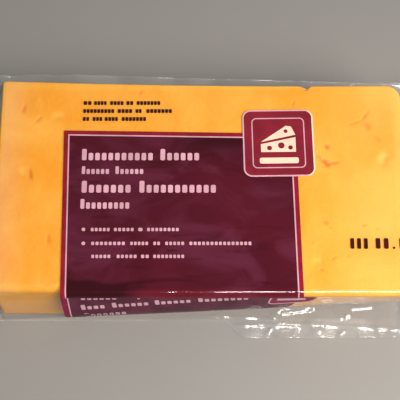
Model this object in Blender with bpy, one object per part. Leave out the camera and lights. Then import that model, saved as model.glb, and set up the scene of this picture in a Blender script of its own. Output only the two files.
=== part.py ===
"""A block of cheddar sealed in clear film, lying on its back with the printed face up.

Metres, +Z up. X runs along the block, -Y is its near long side, and the origin is
on the surface it lies on, under the middle of the whole pack. The pack is one
closed solid, a grid of cross-sections along X: the block, a thin film margin
along each long side, and a film tent that closes to a flat seal at each end.
"""

from math import cos, pi, radians, sin, sqrt

import bmesh
import bpy

# The cheese block under its tight film
BLOCK_LENGTH = 0.123
BLOCK_DEPTH = 0.0678
BLOCK_HEIGHT = 0.025
NEAR_EDGE_RADIUS = 0.0016
FAR_EDGE_RADIUS = 0.0010
FOOT_RADIUS = 0.0014
END_RADIUS = 0.0016
CORNER_RADIUS = 0.0014
FAR_RIGHT_CORNER_RADIUS = 0.0042

# The far long side leans in from left to right, and is a little hollow in the middle
FAR_SIDE_TAPER = 0.0015
FAR_SIDE_FLARE = 0.0007

# The near side: a printed strip of film leaves the face's edge, leaning out at the
# left and in at the right, and below it the side falls back to the foot
STRIP_HEIGHT = 0.0126
STRIP_LEAN_MIDDLE = radians(8.8)
STRIP_LEAN_PER_METRE = radians(-215.0)
STRIP_CREASE = 0.0016
FOOT_INSET_MIDDLE = 0.0030
FOOT_INSET_SLOPE = 0.065
FOOT_INSET_LEAST = 0.0005

# A bite out of the far top edge
NOTCH_X = 0.0327
NOTCH_HALF_WIDTH = 0.0020
NOTCH_DEPTH = 0.0014

# Film where two layers cling together, as thick as a solid needs to be
FIN_THICKNESS = 0.0008
FAR_MARGIN_MIDDLE = 0.0086
FAR_MARGIN_SLOPE = -0.029
FAR_MARGIN_MOST = 0.0095
FAR_MARGIN_HEIGHT = 0.0120
NEAR_WING_REACH = 0.0068
NEAR_LIP_REACH = 0.0012
WING_START_X = 0.0060
WING_FULL_X = 0.0140
WING_RIPPLE = 0.0005
WING_RIPPLE_PITCH = 0.0110

# End seals
TENT_LENGTH = 0.0070
SEAL_LENGTH = 0.0110
SEAL_HEIGHT_NEAR = 0.0045
SEAL_HEIGHT_FAR = 0.0115
SEAL_WAVE = 0.0006
SEAL_WAVES = 3.5

# Points of one cross-section; the upper and the lower chain hold as many each
WING_POINTS = 6
SIDE_POINTS = 9
ARC_POINTS = 4
FACE_POINTS = 9
FAR_SIDE_POINTS = 2
MARGIN_POINTS = 3
BELOW_MARGIN_POINTS = 3
BASE_POINTS = 21

# Cross-sections along X
STATION_STEP = 0.0035
SEAL_STATIONS = 4
TENT_STATIONS = 5
END_ROUNDING_STATIONS = 5
CORNER_STATIONS = 4
NOTCH_STATIONS = 5
SMOOTH_ANGLE = pi / 5

CHEDDAR_COLOUR = (0.87, 0.41, 0.06, 1.0)


def mix(a, b, share):
    return a + (b - a) * share


def smooth_step(low, high, value):
    share = min(max((value - low) / (high - low), 0.0), 1.0)
    return share * share * (3.0 - 2.0 * share)


def arc_drop(radius, past):
    """How far a rounded edge falls back, at a point this far into its radius."""
    past = min(max(past, 0.0), radius)
    return radius - sqrt(radius * radius - past * past)


def end_drop(x, radius):
    return arc_drop(radius, abs(x) - (BLOCK_LENGTH / 2 - radius))


def near_edge(x):
    return -BLOCK_DEPTH / 2 + end_drop(x, CORNER_RADIUS)


def foot_inset(x):
    return max(FOOT_INSET_LEAST, FOOT_INSET_MIDDLE + FOOT_INSET_SLOPE * x)


def near_side(x, z, shoulder):
    """Y of the near side at height z: the leaning strip over the part that falls back."""
    lean = STRIP_LEAN_MIDDLE + STRIP_LEAN_PER_METRE * x
    crease_out = STRIP_HEIGHT * sin(lean)
    crease_z = BLOCK_HEIGHT - STRIP_HEIGHT * cos(lean)
    strip_out = crease_out * (shoulder - z) / (shoulder - crease_z)
    lower_out = mix(-foot_inset(x), crease_out, z / crease_z)
    gap = strip_out - lower_out
    out = (strip_out + lower_out - sqrt(gap * gap + STRIP_CREASE * STRIP_CREASE)) / 2
    return near_edge(x) - out


def far_edge(x):
    radius = FAR_RIGHT_CORNER_RADIUS if x > 0 else CORNER_RADIUS
    lean = FAR_SIDE_TAPER * x / BLOCK_LENGTH
    flare = FAR_SIDE_FLARE * (2.0 * x / BLOCK_LENGTH) ** 2
    return BLOCK_DEPTH / 2 - lean + flare - end_drop(x, radius)


def far_margin_edge(x):
    reach = min(FAR_MARGIN_MIDDLE + FAR_MARGIN_SLOPE * x, FAR_MARGIN_MOST)
    return BLOCK_DEPTH / 2 + reach


def near_wing_edge(x):
    """The outer edge of the near film: a narrow lip at the left, a wing at the right."""
    wing = smooth_step(WING_START_X, WING_FULL_X, x)
    dog_ear = smooth_step(-BLOCK_LENGTH / 2, -BLOCK_LENGTH / 2 - TENT_LENGTH, x)
    return -BLOCK_DEPTH / 2 - mix(NEAR_LIP_REACH, NEAR_WING_REACH, max(wing, dog_ear))


def notch_push(x, y, z):
    """How far the bite pushes a point of the far top edge back towards the middle."""
    along = abs(x - NOTCH_X) / NOTCH_HALF_WIDTH
    down = (BLOCK_HEIGHT - z) / (2.0 * NOTCH_HALF_WIDTH)
    back = (far_edge(x) - y) / (2.0 * NOTCH_HALF_WIDTH)
    if along >= 1.0 or down >= 1.0 or back >= 1.0:
        return 0.0
    return NOTCH_DEPTH * (1.0 - along) * (1.0 - down) * (1.0 - back)


def spread(start, end, count):
    """Evenly spaced values from start to end, both included."""
    return [mix(start, end, i / (count - 1)) for i in range(count)]


def inner_spread(start, end, count):
    """Evenly spaced values between start and end, with neither included."""
    return [mix(start, end, (i + 1) / (count + 1)) for i in range(count)]


def ripple(x, share):
    """Lift of the near wing, which lies flat at its root and ripples at its edge."""
    wing = smooth_step(WING_START_X, WING_FULL_X, x)
    return wing * share * WING_RIPPLE * (1.0 + sin(2.0 * pi * x / WING_RIPPLE_PITCH))


def upper_chain(x):
    """From the near film's edge over the printed face to the far margin's edge."""
    top = BLOCK_HEIGHT - end_drop(x, END_RADIUS)
    shoulder = top - NEAR_EDGE_RADIUS
    foot = near_side(x, FIN_THICKNESS, shoulder)
    front = near_side(x, shoulder, shoulder)
    back = far_edge(x)
    margin_top = FAR_MARGIN_HEIGHT + FIN_THICKNESS / 2
    points = []
    for share in spread(1.0, 0.0, WING_POINTS):
        y = mix(foot, near_wing_edge(x), share)
        points.append((y, FIN_THICKNESS + ripple(x, share)))
    for z in inner_spread(FIN_THICKNESS, shoulder, SIDE_POINTS):
        points.append((near_side(x, z, shoulder), z))
    for angle in spread(0.0, pi / 2, ARC_POINTS):
        points.append((front + NEAR_EDGE_RADIUS * (1.0 - cos(angle)),
                       shoulder + NEAR_EDGE_RADIUS * sin(angle)))
    for y in inner_spread(front + NEAR_EDGE_RADIUS, back - FAR_EDGE_RADIUS, FACE_POINTS):
        points.append((y, top))
    for angle in spread(pi / 2, 0.0, ARC_POINTS):
        y = back - FAR_EDGE_RADIUS * (1.0 - cos(angle))
        z = top - FAR_EDGE_RADIUS * (1.0 - sin(angle))
        points.append((y - notch_push(x, y, z), z))
    for z in inner_spread(top - FAR_EDGE_RADIUS, margin_top, FAR_SIDE_POINTS):
        points.append((back - notch_push(x, back, z), z))
    for y in spread(back, far_margin_edge(x), MARGIN_POINTS):
        points.append((y, margin_top))
    return points


def lower_chain(x):
    """From the far margin's edge under the block to the near film's edge."""
    back = far_edge(x)
    margin_low = FAR_MARGIN_HEIGHT - FIN_THICKNESS / 2
    points = []
    for y in spread(far_margin_edge(x), back, MARGIN_POINTS):
        points.append((y, margin_low))
    for z in inner_spread(margin_low, FOOT_RADIUS, BELOW_MARGIN_POINTS):
        points.append((back, z))
    for angle in spread(0.0, pi / 2, ARC_POINTS):
        points.append((back - FOOT_RADIUS * (1.0 - cos(angle)),
                       FOOT_RADIUS * (1.0 - sin(angle))))
    foot = near_side(x, FIN_THICKNESS, BLOCK_HEIGHT - NEAR_EDGE_RADIUS)
    for y in inner_spread(back - FOOT_RADIUS, foot, BASE_POINTS):
        points.append((y, 0.0))
    for share in spread(0.0, 1.0, WING_POINTS):
        points.append((mix(foot, near_wing_edge(x), share), ripple(x, share)))
    return points


def seal_height(y):
    share = (y + BLOCK_DEPTH / 2) / BLOCK_DEPTH
    wave = SEAL_WAVE * sin(2.0 * pi * SEAL_WAVES * share)
    return mix(SEAL_HEIGHT_NEAR, SEAL_HEIGHT_FAR, share) + wave


def seal_chain(x, count, side):
    """One face of the flat seal: side is +1 for the upper face, -1 for the lower."""
    points = []
    for y in spread(near_wing_edge(x), far_margin_edge(x), count):
        points.append((y, seal_height(y) + side * FIN_THICKNESS / 2))
    return points


def blend_chain(block, flat, closed):
    """The block's chain drawn in to the seal's: height closes sooner than width."""
    fall = 1.0 - (1.0 - closed) ** 2
    return [(mix(a[0], b[0], closed), mix(a[1], b[1], fall)) for a, b in zip(block, flat)]


def cross_section(x):
    """The pack's closed outline at x, as (y, z), with the upper chain first."""
    end = BLOCK_LENGTH / 2
    at_block = max(-end, min(end, x))
    closed = min(max((abs(x) - end) / TENT_LENGTH, 0.0), 1.0)
    upper = upper_chain(at_block)
    lower = lower_chain(at_block)
    if closed > 0.0:
        upper = blend_chain(upper, seal_chain(x, len(upper), 1.0), closed)
        lower = blend_chain(lower, seal_chain(x, len(lower), -1.0)[::-1], closed)
    return upper + lower


def stations():
    """Places along X of the cross-sections, closer where the form turns."""
    end = BLOCK_LENGTH / 2
    seal_start = end + TENT_LENGTH
    places = set()
    for side in (-1, 1):
        for x in spread(seal_start, seal_start + SEAL_LENGTH, SEAL_STATIONS):
            places.add(side * x)
        for x in inner_spread(end, seal_start, TENT_STATIONS):
            places.add(side * x)
        for angle in spread(0.0, pi / 2, END_ROUNDING_STATIONS):
            places.add(side * (end - END_RADIUS * (1.0 - sin(angle))))
    for angle in inner_spread(0.0, pi / 2, CORNER_STATIONS):
        places.add(end - FAR_RIGHT_CORNER_RADIUS * (1.0 - sin(angle)))
    reach = end - FAR_RIGHT_CORNER_RADIUS
    steps = round(2.0 * reach / STATION_STEP)
    for x in spread(-reach, reach, steps + 1):
        if abs(x - NOTCH_X) > NOTCH_HALF_WIDTH:
            places.add(x)
    for x in spread(-NOTCH_HALF_WIDTH, NOTCH_HALF_WIDTH, NOTCH_STATIONS):
        places.add(NOTCH_X + x)
    return sorted(places)


def make_pack(origin_y):
    """Loft the cross-sections into one closed mesh, with quads across both ends."""
    mesh_data = bmesh.new()
    rings = []
    for x in stations():
        rings.append([mesh_data.verts.new((x, y - origin_y, z)) for y, z in cross_section(x)])
    count = len(rings[0])
    for ring, following in zip(rings, rings[1:]):
        for i in range(count):
            j = (i + 1) % count
            mesh_data.faces.new((ring[i], following[i], following[j], ring[j]))
    for ring in (rings[0], rings[-1]):
        for i in range(count // 2 - 1):
            across = (ring[i], ring[i + 1], ring[count - 2 - i], ring[count - 1 - i])
            mesh_data.faces.new(across)
    bmesh.ops.recalc_face_normals(mesh_data, faces=mesh_data.faces)
    mesh = bpy.data.meshes.new("sealed_cheddar_pack")
    mesh_data.to_mesh(mesh)
    mesh_data.free()
    return mesh


def film_and_cheddar_material():
    material = bpy.data.materials.new("film_over_cheddar")
    material.use_nodes = True
    shader = material.node_tree.nodes["Principled BSDF"]
    shader.inputs["Base Color"].default_value = CHEDDAR_COLOUR
    shader.inputs["Roughness"].default_value = 0.25
    shader.inputs["Metallic"].default_value = 0.0
    return material


def pack_middle_y():
    """The middle of the whole pack in Y, which is where its origin goes."""
    ends = stations()
    near = min(near_wing_edge(x) for x in ends)
    far = max(far_margin_edge(x) for x in ends)
    return (near + far) / 2


def main():
    for item in list(bpy.data.objects):
        bpy.data.objects.remove(item, do_unlink=True)
    mesh = make_pack(pack_middle_y())
    mesh.materials.append(film_and_cheddar_material())
    pack = bpy.data.objects.new("sealed_cheddar_pack", mesh)
    bpy.context.scene.collection.objects.link(pack)
    mesh.shade_smooth()
    mesh.set_sharp_from_angle(angle=SMOOTH_ANGLE)


main()
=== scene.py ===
"""A block of cheddar sealed in clear printed film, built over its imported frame.

Metres, +Z up, in the frame's own axes. The film, the print and the cheese follow the
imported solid's sizes, which stand first below. Lengths along the pack's skin are
measured on the printed face by y, and past its near end by the way down the side.
"""

from math import cos, pi, radians, sin, tau

import bmesh
import bpy
import numpy as np
from mathutils import Matrix, Vector


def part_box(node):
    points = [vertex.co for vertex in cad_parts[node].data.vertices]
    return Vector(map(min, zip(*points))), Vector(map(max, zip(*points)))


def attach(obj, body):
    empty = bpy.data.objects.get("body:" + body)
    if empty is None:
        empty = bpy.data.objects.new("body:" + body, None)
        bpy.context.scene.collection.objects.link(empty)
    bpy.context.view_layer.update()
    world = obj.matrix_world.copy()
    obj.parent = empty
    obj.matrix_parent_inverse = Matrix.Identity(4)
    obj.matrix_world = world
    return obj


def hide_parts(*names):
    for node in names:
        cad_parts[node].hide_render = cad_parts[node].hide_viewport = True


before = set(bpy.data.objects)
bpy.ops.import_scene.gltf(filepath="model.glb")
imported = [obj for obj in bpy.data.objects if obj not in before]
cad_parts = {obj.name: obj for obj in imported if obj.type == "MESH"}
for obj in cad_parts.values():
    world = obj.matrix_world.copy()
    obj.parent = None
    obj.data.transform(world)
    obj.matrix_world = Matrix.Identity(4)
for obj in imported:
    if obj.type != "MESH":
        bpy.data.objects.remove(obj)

bl_info = {
    "name": "Film-packed Cheddar",
    "version": (1, 0, 0),
    "blender": (4, 5, 0),
    "location": "View3D > Sidebar > Cheddar",
    "description": "Builds a block of cheddar sealed in clear printed film",
    "category": "Add Mesh",
}

PACK_NODE = "sealed_cheddar_pack"

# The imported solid's own sizes, which the film and the cheese repeat
BLOCK_LENGTH = 0.123
BLOCK_DEPTH = 0.0678
BLOCK_HEIGHT = 0.025
NEAR_EDGE_RADIUS = 0.0016
FAR_EDGE_RADIUS = 0.0010
FOOT_RADIUS = 0.0014
END_RADIUS = 0.0016
CORNER_RADIUS = 0.0014
FAR_RIGHT_CORNER_RADIUS = 0.0042
FAR_SIDE_TAPER = 0.0015
FAR_SIDE_FLARE = 0.0007
STRIP_HEIGHT = 0.0126
STRIP_LEAN_MIDDLE = radians(8.8)
STRIP_LEAN_PER_METRE = radians(-215.0)
STRIP_CREASE = 0.0016
FOOT_INSET_MIDDLE = 0.0030
FOOT_INSET_SLOPE = 0.065
FOOT_INSET_LEAST = 0.0005
NOTCH_X = 0.0327
NOTCH_HALF_WIDTH = 0.0020
NOTCH_DEPTH = 0.0014
FAR_MARGIN_MIDDLE = 0.0086
FAR_MARGIN_SLOPE = -0.029
FAR_MARGIN_MOST = 0.0095
FAR_MARGIN_HEIGHT = 0.0120
NEAR_WING_REACH = 0.0068
NEAR_LIP_REACH = 0.0012
WING_START_X = 0.0060
WING_FULL_X = 0.0140
WING_RIPPLE = 0.0005
WING_RIPPLE_PITCH = 0.0110
TENT_LENGTH = 0.0070
SEAL_LENGTH = 0.0110
SEAL_HEIGHT_NEAR = 0.0045
SEAL_HEIGHT_FAR = 0.0115
SEAL_WAVE = 0.0006
SEAL_WAVES = 3.5

# The frame's origin is under the middle of the whole pack, the block's a little nearer
PACK_LOW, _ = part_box(PACK_NODE)
BLOCK_SHIFT_Y = PACK_LOW.y + BLOCK_DEPTH / 2 + NEAR_WING_REACH

# The cheese's own edges under the film; its near edge is worn rounder at the left
CHEESE_EDGE_RADIUS = 0.0005
CHEESE_END_GAP = 0.0001
CHEESE_FAR_GAP = 0.0001
CHEESE_WORN_RADIUS = 0.0022
CHEESE_WORN_INSET = 0.0014
CHEESE_BASE_Z = 0.0005

# The bite in its far edge: its depth, and how far its slopes reach each way
BITE_DEPTH = 0.0011
BITE_LEFT, BITE_LEFT_SLOPE = 0.0022, 0.0024
BITE_RIGHT, BITE_RIGHT_SLOPE = 0.0016, 0.0013
BITE_DOWN = 0.0060
BITE_BACK = 0.0036

# The film's seam under the block
SEAM_HALF_WIDTH = 0.0060
SEAM_REACH = 0.0600
SEAM_TOP = 0.00019
SEAM_UNDER = 0.00004
SEAM_SWAY = 0.0008
SEAM_SWAY_RATE = 45.0
SEAM_PLACES = 61
SEAM_POINTS = 9

# From the end seal's corners to the ends of its ridges
CRIMP_INSET = 0.0006

# The camera, as fitted to the printed panel's corners, from the block's middle
CAMERA_TARGET = (-0.000356, 0.000295, 0.0125)
CAMERA_TURN = radians(1.375)
CAMERA_ELEVATION = radians(69.84)
CAMERA_ROLL = radians(1.30)
CAMERA_DISTANCE = 0.3542
CAMERA_LENS = 102.84

# The studio: half the floor's width, its height, the even light from all round, and each
# lamp's place, target, width, height, power and colour
FLOOR_HALF = 1.5
FLOOR_HEIGHT = -0.0001
WORLD_COLOUR = (0.95, 0.97, 1.0, 1.0)
WORLD_STRENGTH = 0.19
LIGHTS = (
    ("key_right", (0.21, -0.15, 0.272), (0.0, 0.0, 0.02), 0.20, 0.20, 1.46, (1.0, 0.97, 0.91)),
    ("rim_back", (0.05, 0.75, 0.42), (0.0, 0.0, 0.02), 0.80, 0.30, 0.28, (1.0, 0.98, 0.95)),
    ("edge_line", (0.098, -0.215, 0.60), (0.03, -0.03, 0.02), 0.146, 0.022, 2.25,
     (1.0, 0.97, 0.90)),
)

# The printed panel on the face: its far corners, and its near corners' x at the near edge
PANEL_LEFT_TOP = (-0.04180, 0.01827)
PANEL_RIGHT_TOP = (0.02882, 0.01726)
PANEL_LEFT_NEAR = -0.04101
PANEL_RIGHT_NEAR = 0.02965

# The badge: its middle, rim and inner line, and its picture, a wedge with holes over a bar
BADGE_MIDDLE = (0.02345, 0.01415)
BADGE_RIM = 0.00045
BADGE_LINE_BOX = (0.0158, 0.0162, 0.0013)
BADGE_LINE_WIDTH = 0.00034
WEDGE_SIDE = ((-0.0054, -0.0030), (0.0052, -0.0030), (0.0052, 0.0018), (-0.0054, -0.0004))
WEDGE_TOP = ((-0.0054, 0.0003), (0.0052, 0.0026), (0.0040, 0.0053), (0.0024, 0.0056))
WEDGE_BAR_MIDDLE = (0.0, -0.0058)
WEDGE_BAR_BOX = (0.0118, 0.0019, 0.0005)
BADGE_HOLES = ((-0.0028, -0.0017, 0.00075), (0.0008, -0.0009, 0.0010),
               (0.0036, -0.0016, 0.0007), (0.0023, 0.0038, 0.0006))

# Printed words stand as plain blocks: each line's words as start and end, then its
# baseline; the headlines also have their low and tall height and the letters' pitch
HEADLINES = (
    (((-0.0364, -0.0144), (-0.0127, -0.0004)), 0.00845, 0.0024, 0.0037, 0.00195),
    (((-0.0362, -0.0276), (-0.0261, -0.0173)), 0.0040, 0.0016, 0.0025, 0.00150),
    (((-0.0362, -0.0209), (-0.0189, 0.0046)), -0.0020, 0.0025, 0.0038, 0.00205),
    (((-0.0363, -0.0213),), -0.0071, 0.0020, 0.0031, 0.00175),
)
SMALL_LINES = (
    (((-0.0329, -0.0270), (-0.0261, -0.0199), (-0.0190, -0.0172), (-0.0163, -0.0066)), -0.01425),
    (((-0.0327, -0.0224), (-0.0212, -0.0156), (-0.0144, -0.0121), (-0.0109, -0.0050),
      (-0.0038, 0.0148)), -0.01855),
    (((-0.0325, -0.0266), (-0.0251, -0.0189), (-0.0180, -0.0153), (-0.0144, -0.0050)), -0.02255),
)
SMALL_RISE = 0.0001
BULLETS = ((-0.0349, -0.01358), (-0.0348, -0.01792))
BULLET_BOX = (0.00110, 0.00110, 0.00054)
DARK_LINES = (
    (((-0.0363, -0.0336), (-0.0330, -0.0290), (-0.0281, -0.0238), (-0.0231, -0.0208),
      (-0.0199, -0.0125)), 0.02682),
    (((-0.0363, -0.0266), (-0.0257, -0.0211), (-0.0202, -0.0182), (-0.0169, -0.0089)), 0.02412),
    (((-0.0363, -0.0342), (-0.0333, -0.0302), (-0.0296, -0.0254), (-0.0244, -0.0168)), 0.02145),
)
WEIGHT_WORDS = ((0.0434, 0.0494), (0.0508, 0.0556), (0.0578, 0.0602))
WEIGHT_BASELINE = -0.01955
WEIGHT_SLOPE = -0.012
WEIGHT_POINT = (0.05665, WEIGHT_BASELINE + 0.0003)
WEIGHT_POINT_BOX = (0.0007, 0.0007, 0.00033)

# Height of the blocks and pitch of the letters in the small, the dark and the weight lines,
# and how much of a letter's place the last two fill, against the panel's words
SMALL_HEIGHT, SMALL_PITCH = 0.00105, 0.00122
DARK_HEIGHT, DARK_PITCH, DARK_FILL = 0.00130, 0.00110, 1.12
WEIGHT_HEIGHT, WEIGHT_PITCH, WEIGHT_FILL = 0.0033, 0.0021, 0.8

# The panel runs on down the near side in duller ink: its ends at the edge, its depth, how far
# its lower corners, its border line and its field stand in from them, and the badge's bar
SIDE_LEFT = -0.0412
SIDE_RIGHT = 0.0298
SIDE_GLOSS = 0.04
SIDE_DEPTH = 0.0205
SIDE_LEAN_LEFT = 0.0011
SIDE_LEAN_RIGHT = 0.0080
SIDE_LINE_TOP = 0.0021
SIDE_LINE_LOW = 0.0028
SIDE_FIELD_TOP = 0.001
SIDE_FIELD_LOW = 0.0089
SIDE_BAR_X = 0.0262
SIDE_BAR_DOWN = 0.0016
SIDE_BAR_BOX = (0.0084, 0.0016, 0.0004, 0.03)
SIDE_BADGE_LINE = 0.00050

# Its lines of words: the words, the way down, slope, low and tall height, pitch
SIDE_LINES = (
    (((-0.0358, -0.0283), (-0.0266, -0.0154), (-0.0140, -0.0030), (-0.0013, 0.0138)),
     0.0067, 0.105, 0.0018, 0.0027, 0.00185),
    (((-0.0355, -0.0246), (-0.0190, -0.0178)), 0.001194, 0.02, 0.0010, 0.0010, 0.00185),
    (((-0.0350, -0.0222),), 0.0118, 0.105, 0.0020, 0.0030, 0.0018),
)

# The side badge's outline, as x and the way down from the face's edge
SIDE_BADGE = (
    (0.0203, 0.0003), (0.0200, 0.0020), (0.0197, 0.0040), (0.0199, 0.0049), (0.0204, 0.0054),
    (0.0212, 0.0056), (0.0240, 0.0053), (0.0290, 0.0047), (0.0305, 0.0043), (0.0317, 0.0036),
    (0.0326, 0.0026), (0.0333, 0.0013), (0.0336, 0.0003),
)

# Listed marks on the printed face: x, y, length, width, depth, turn and kind
CHEESE_MARKS = (
    (-0.0544, 0.0258, 0.0026, 0.0006, 0.00050, 75.0, "pit"),
    (-0.0497, 0.0221, 0.0024, 0.0006, 0.00045, 50.0, "pit"),
    (-0.0186, 0.0311, 0.0018, 0.0004, 0.00030, 65.0, "pit"),
    (-0.0515, 0.0043, 0.0032, 0.0009, 0.00085, 105.0, "crack"),
    (-0.0533, 0.0051, 0.0030, 0.0016, 0.00025, 100.0, "dimple"),
    (-0.0451, -0.0165, 0.0028, 0.0007, 0.00050, 95.0, "crack"),
    (0.0286, 0.0275, 0.0024, 0.0005, 0.00035, 60.0, "crack"),
    (0.0505, 0.0234, 0.0034, 0.0007, 0.00050, 52.0, "crack"),
    (0.0473, 0.0209, 0.0042, 0.0006, 0.00035, 20.0, "crack"),
    (0.0504, 0.0199, 0.0030, 0.0017, 0.00025, -60.0, "blush"),
    (0.0535, 0.0157, 0.0026, 0.0007, 0.00025, -50.0, "blush"),
    (0.0379, 0.0129, 0.0016, 0.0010, 0.00035, -60.0, "fissure"),
    (0.0356, 0.0095, 0.0018, 0.0005, 0.00030, -45.0, "fissure"),
    (0.0373, 0.0077, 0.0032, 0.0013, 0.00060, -50.0, "fissure"),
    (0.0397, 0.0075, 0.0040, 0.0007, 0.00045, 5.0, "fissure"),
    (0.0556, 0.0089, 0.0044, 0.0026, 0.00060, 70.0, "bruise"),
    (0.0366, -0.0115, 0.0018, 0.0010, 0.00030, -30.0, "blush"),
    (0.0390, -0.0224, 0.0022, 0.0005, 0.00030, 35.0, "crack"),
    (0.0432, -0.0218, 0.0013, 0.0004, 0.00025, 25.0, "pit"),
    (0.0351, -0.026, 0.0014, 0.0004, 0.00025, 20.0, "pit"),
    (0.0481, -0.0123, 0.0010, 0.0005, 0.00020, 0.0, "pit"),
    (0.0523, -0.0136, 0.0014, 0.0003, 0.00020, -10.0, "pit"),
    (0.0340, -0.0238, 0.0035, 0.0022, 0.00015, 20.0, "dimple"),
    (0.0384, -0.0131, 0.0012, 0.0004, 0.00018, -15.0, "pit"),
    (-0.0437, 0.0229, 0.0042, 0.0022, 0.00015, 20.0, "dimple"),
    (0.0270, 0.0327, 0.0080, 0.0006, 0.00010, 0.0, "dimple"),
)
# How red each kind of mark is painted: in cracks, fissures and pits the red is painted shade with the
# cheese's deeper colour; on a blush it is colour
MARK_RED_AND_SHADE = {"crack": 0.55, "fissure": 0.95, "blush": 0.45, "pit": 0.55}
MARK_PALE = {"dimple": 0.60, "bruise": 1.0}

# Folds of the near wing: points along each, its width and its height
WING_FOLDS = (
    (((0.0225, -0.0343), (0.0235, -0.0324), (0.0254, -0.0312), (0.0294, -0.03085),
      (0.0349, -0.0309)), 0.0009, 0.0010),
    (((0.0249, -0.0326), (0.0297, -0.0320), (0.0347, -0.0314)), 0.0008, 0.0006),
    (((0.0412, -0.0312), (0.0433, -0.0344)), 0.0008, 0.0007),
    (((0.0445, -0.0344), (0.0468, -0.0312), (0.0528, -0.0305)), 0.0008, 0.0007),
    (((0.0031, -0.0334), (0.0173, -0.0340)), 0.0009, 0.0004),
)


def mix(a, b, share):
    return a + (b - a) * share


def smooth_step(low, high, value):
    share = np.clip((value - low) / (high - low), 0.0, 1.0)
    return share * share * (3.0 - 2.0 * share)


def bump(distance, reach):
    """A round hump, 1 in the middle and almost nothing past its reach."""
    return np.exp(-4.0 * (distance / reach) ** 2)


def cloud(x, y, cell, seed):
    """Smooth noise from -1 to 1 with lumps about one cell across."""
    lattice = np.random.default_rng(seed).uniform(-1.0, 1.0, (64, 64))
    u = np.asarray(x) / cell + 31.0
    v = np.asarray(y) / cell + 31.0
    i = np.floor(u).astype(int)
    j = np.floor(v).astype(int)
    p = u - i
    q = v - j
    p = p * p * (3.0 - 2.0 * p)
    q = q * q * (3.0 - 2.0 * q)
    near = mix(lattice[i % 64, j % 64], lattice[(i + 1) % 64, j % 64], p)
    far = mix(lattice[i % 64, (j + 1) % 64], lattice[(i + 1) % 64, (j + 1) % 64], p)
    return mix(near, far, q)


def creases(x, y, cell, seed):
    """Sharp folds from 0 to 1, high along thin lines."""
    fine = 1.0 - np.abs(cloud(x, y, cell, seed)) * 2.2
    coarse = 1.0 - np.abs(cloud(x, y, cell * 2.3, seed + 1)) * 2.2
    return np.clip(np.maximum(fine, coarse), 0.0, 1.0) ** 2


def pairs(y, z):
    return np.stack([y, z], 1)


def arc_drop(radius, past):
    past = np.clip(past, 0.0, radius)
    return radius - np.sqrt(radius * radius - past * past)


def end_drop(x, radius):
    return arc_drop(radius, np.abs(x) - (BLOCK_LENGTH / 2 - radius))


def face_height(x):
    return BLOCK_HEIGHT - end_drop(x, END_RADIUS)


def near_edge(x):
    return -BLOCK_DEPTH / 2 + end_drop(x, CORNER_RADIUS)


def foot_inset(x):
    return np.maximum(FOOT_INSET_LEAST, FOOT_INSET_MIDDLE + FOOT_INSET_SLOPE * x)


def near_side(x, z, shoulder):
    """Y of the film's near side: the leaning strip over the part that falls back."""
    lean = STRIP_LEAN_MIDDLE + STRIP_LEAN_PER_METRE * x
    crease_out = STRIP_HEIGHT * np.sin(lean)
    crease_z = BLOCK_HEIGHT - STRIP_HEIGHT * np.cos(lean)
    strip_out = crease_out * (shoulder - z) / (shoulder - crease_z)
    lower_out = mix(-foot_inset(x), crease_out, z / crease_z)
    gap = strip_out - lower_out
    out = (strip_out + lower_out - np.sqrt(gap * gap + STRIP_CREASE * STRIP_CREASE)) / 2
    return near_edge(x) - out


def far_edge(x):
    radius = np.where(np.asarray(x) > 0, FAR_RIGHT_CORNER_RADIUS, CORNER_RADIUS)
    drop = arc_drop(radius, np.abs(x) - (BLOCK_LENGTH / 2 - radius))
    flare = FAR_SIDE_FLARE * (2.0 * x / BLOCK_LENGTH) ** 2
    return BLOCK_DEPTH / 2 - FAR_SIDE_TAPER * x / BLOCK_LENGTH + flare - drop


def far_margin_edge(x):
    return BLOCK_DEPTH / 2 + np.minimum(FAR_MARGIN_MIDDLE + FAR_MARGIN_SLOPE * x, FAR_MARGIN_MOST)


def near_wing_edge(x):
    wing = smooth_step(WING_START_X, WING_FULL_X, x)
    dog_ear = 1.0 - smooth_step(-BLOCK_LENGTH / 2 - TENT_LENGTH, -BLOCK_LENGTH / 2, x)
    return -BLOCK_DEPTH / 2 - mix(NEAR_LIP_REACH, NEAR_WING_REACH, np.maximum(wing, dog_ear))


def notch_push(x, y, z):
    along = np.abs(x - NOTCH_X) / NOTCH_HALF_WIDTH
    down = (BLOCK_HEIGHT - z) / (2.0 * NOTCH_HALF_WIDTH)
    back = (far_edge(x) - y) / (2.0 * NOTCH_HALF_WIDTH)
    inside = (along < 1.0) & (down < 1.0) & (back < 1.0)
    return np.where(inside, NOTCH_DEPTH * (1.0 - along) * (1.0 - down) * (1.0 - back), 0.0)


def seal_height(y):
    share = (y + BLOCK_DEPTH / 2) / BLOCK_DEPTH
    wave = SEAL_WAVE * np.sin(tau * SEAL_WAVES * share)
    return mix(SEAL_HEIGHT_NEAR, SEAL_HEIGHT_FAR, share) + wave


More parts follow.
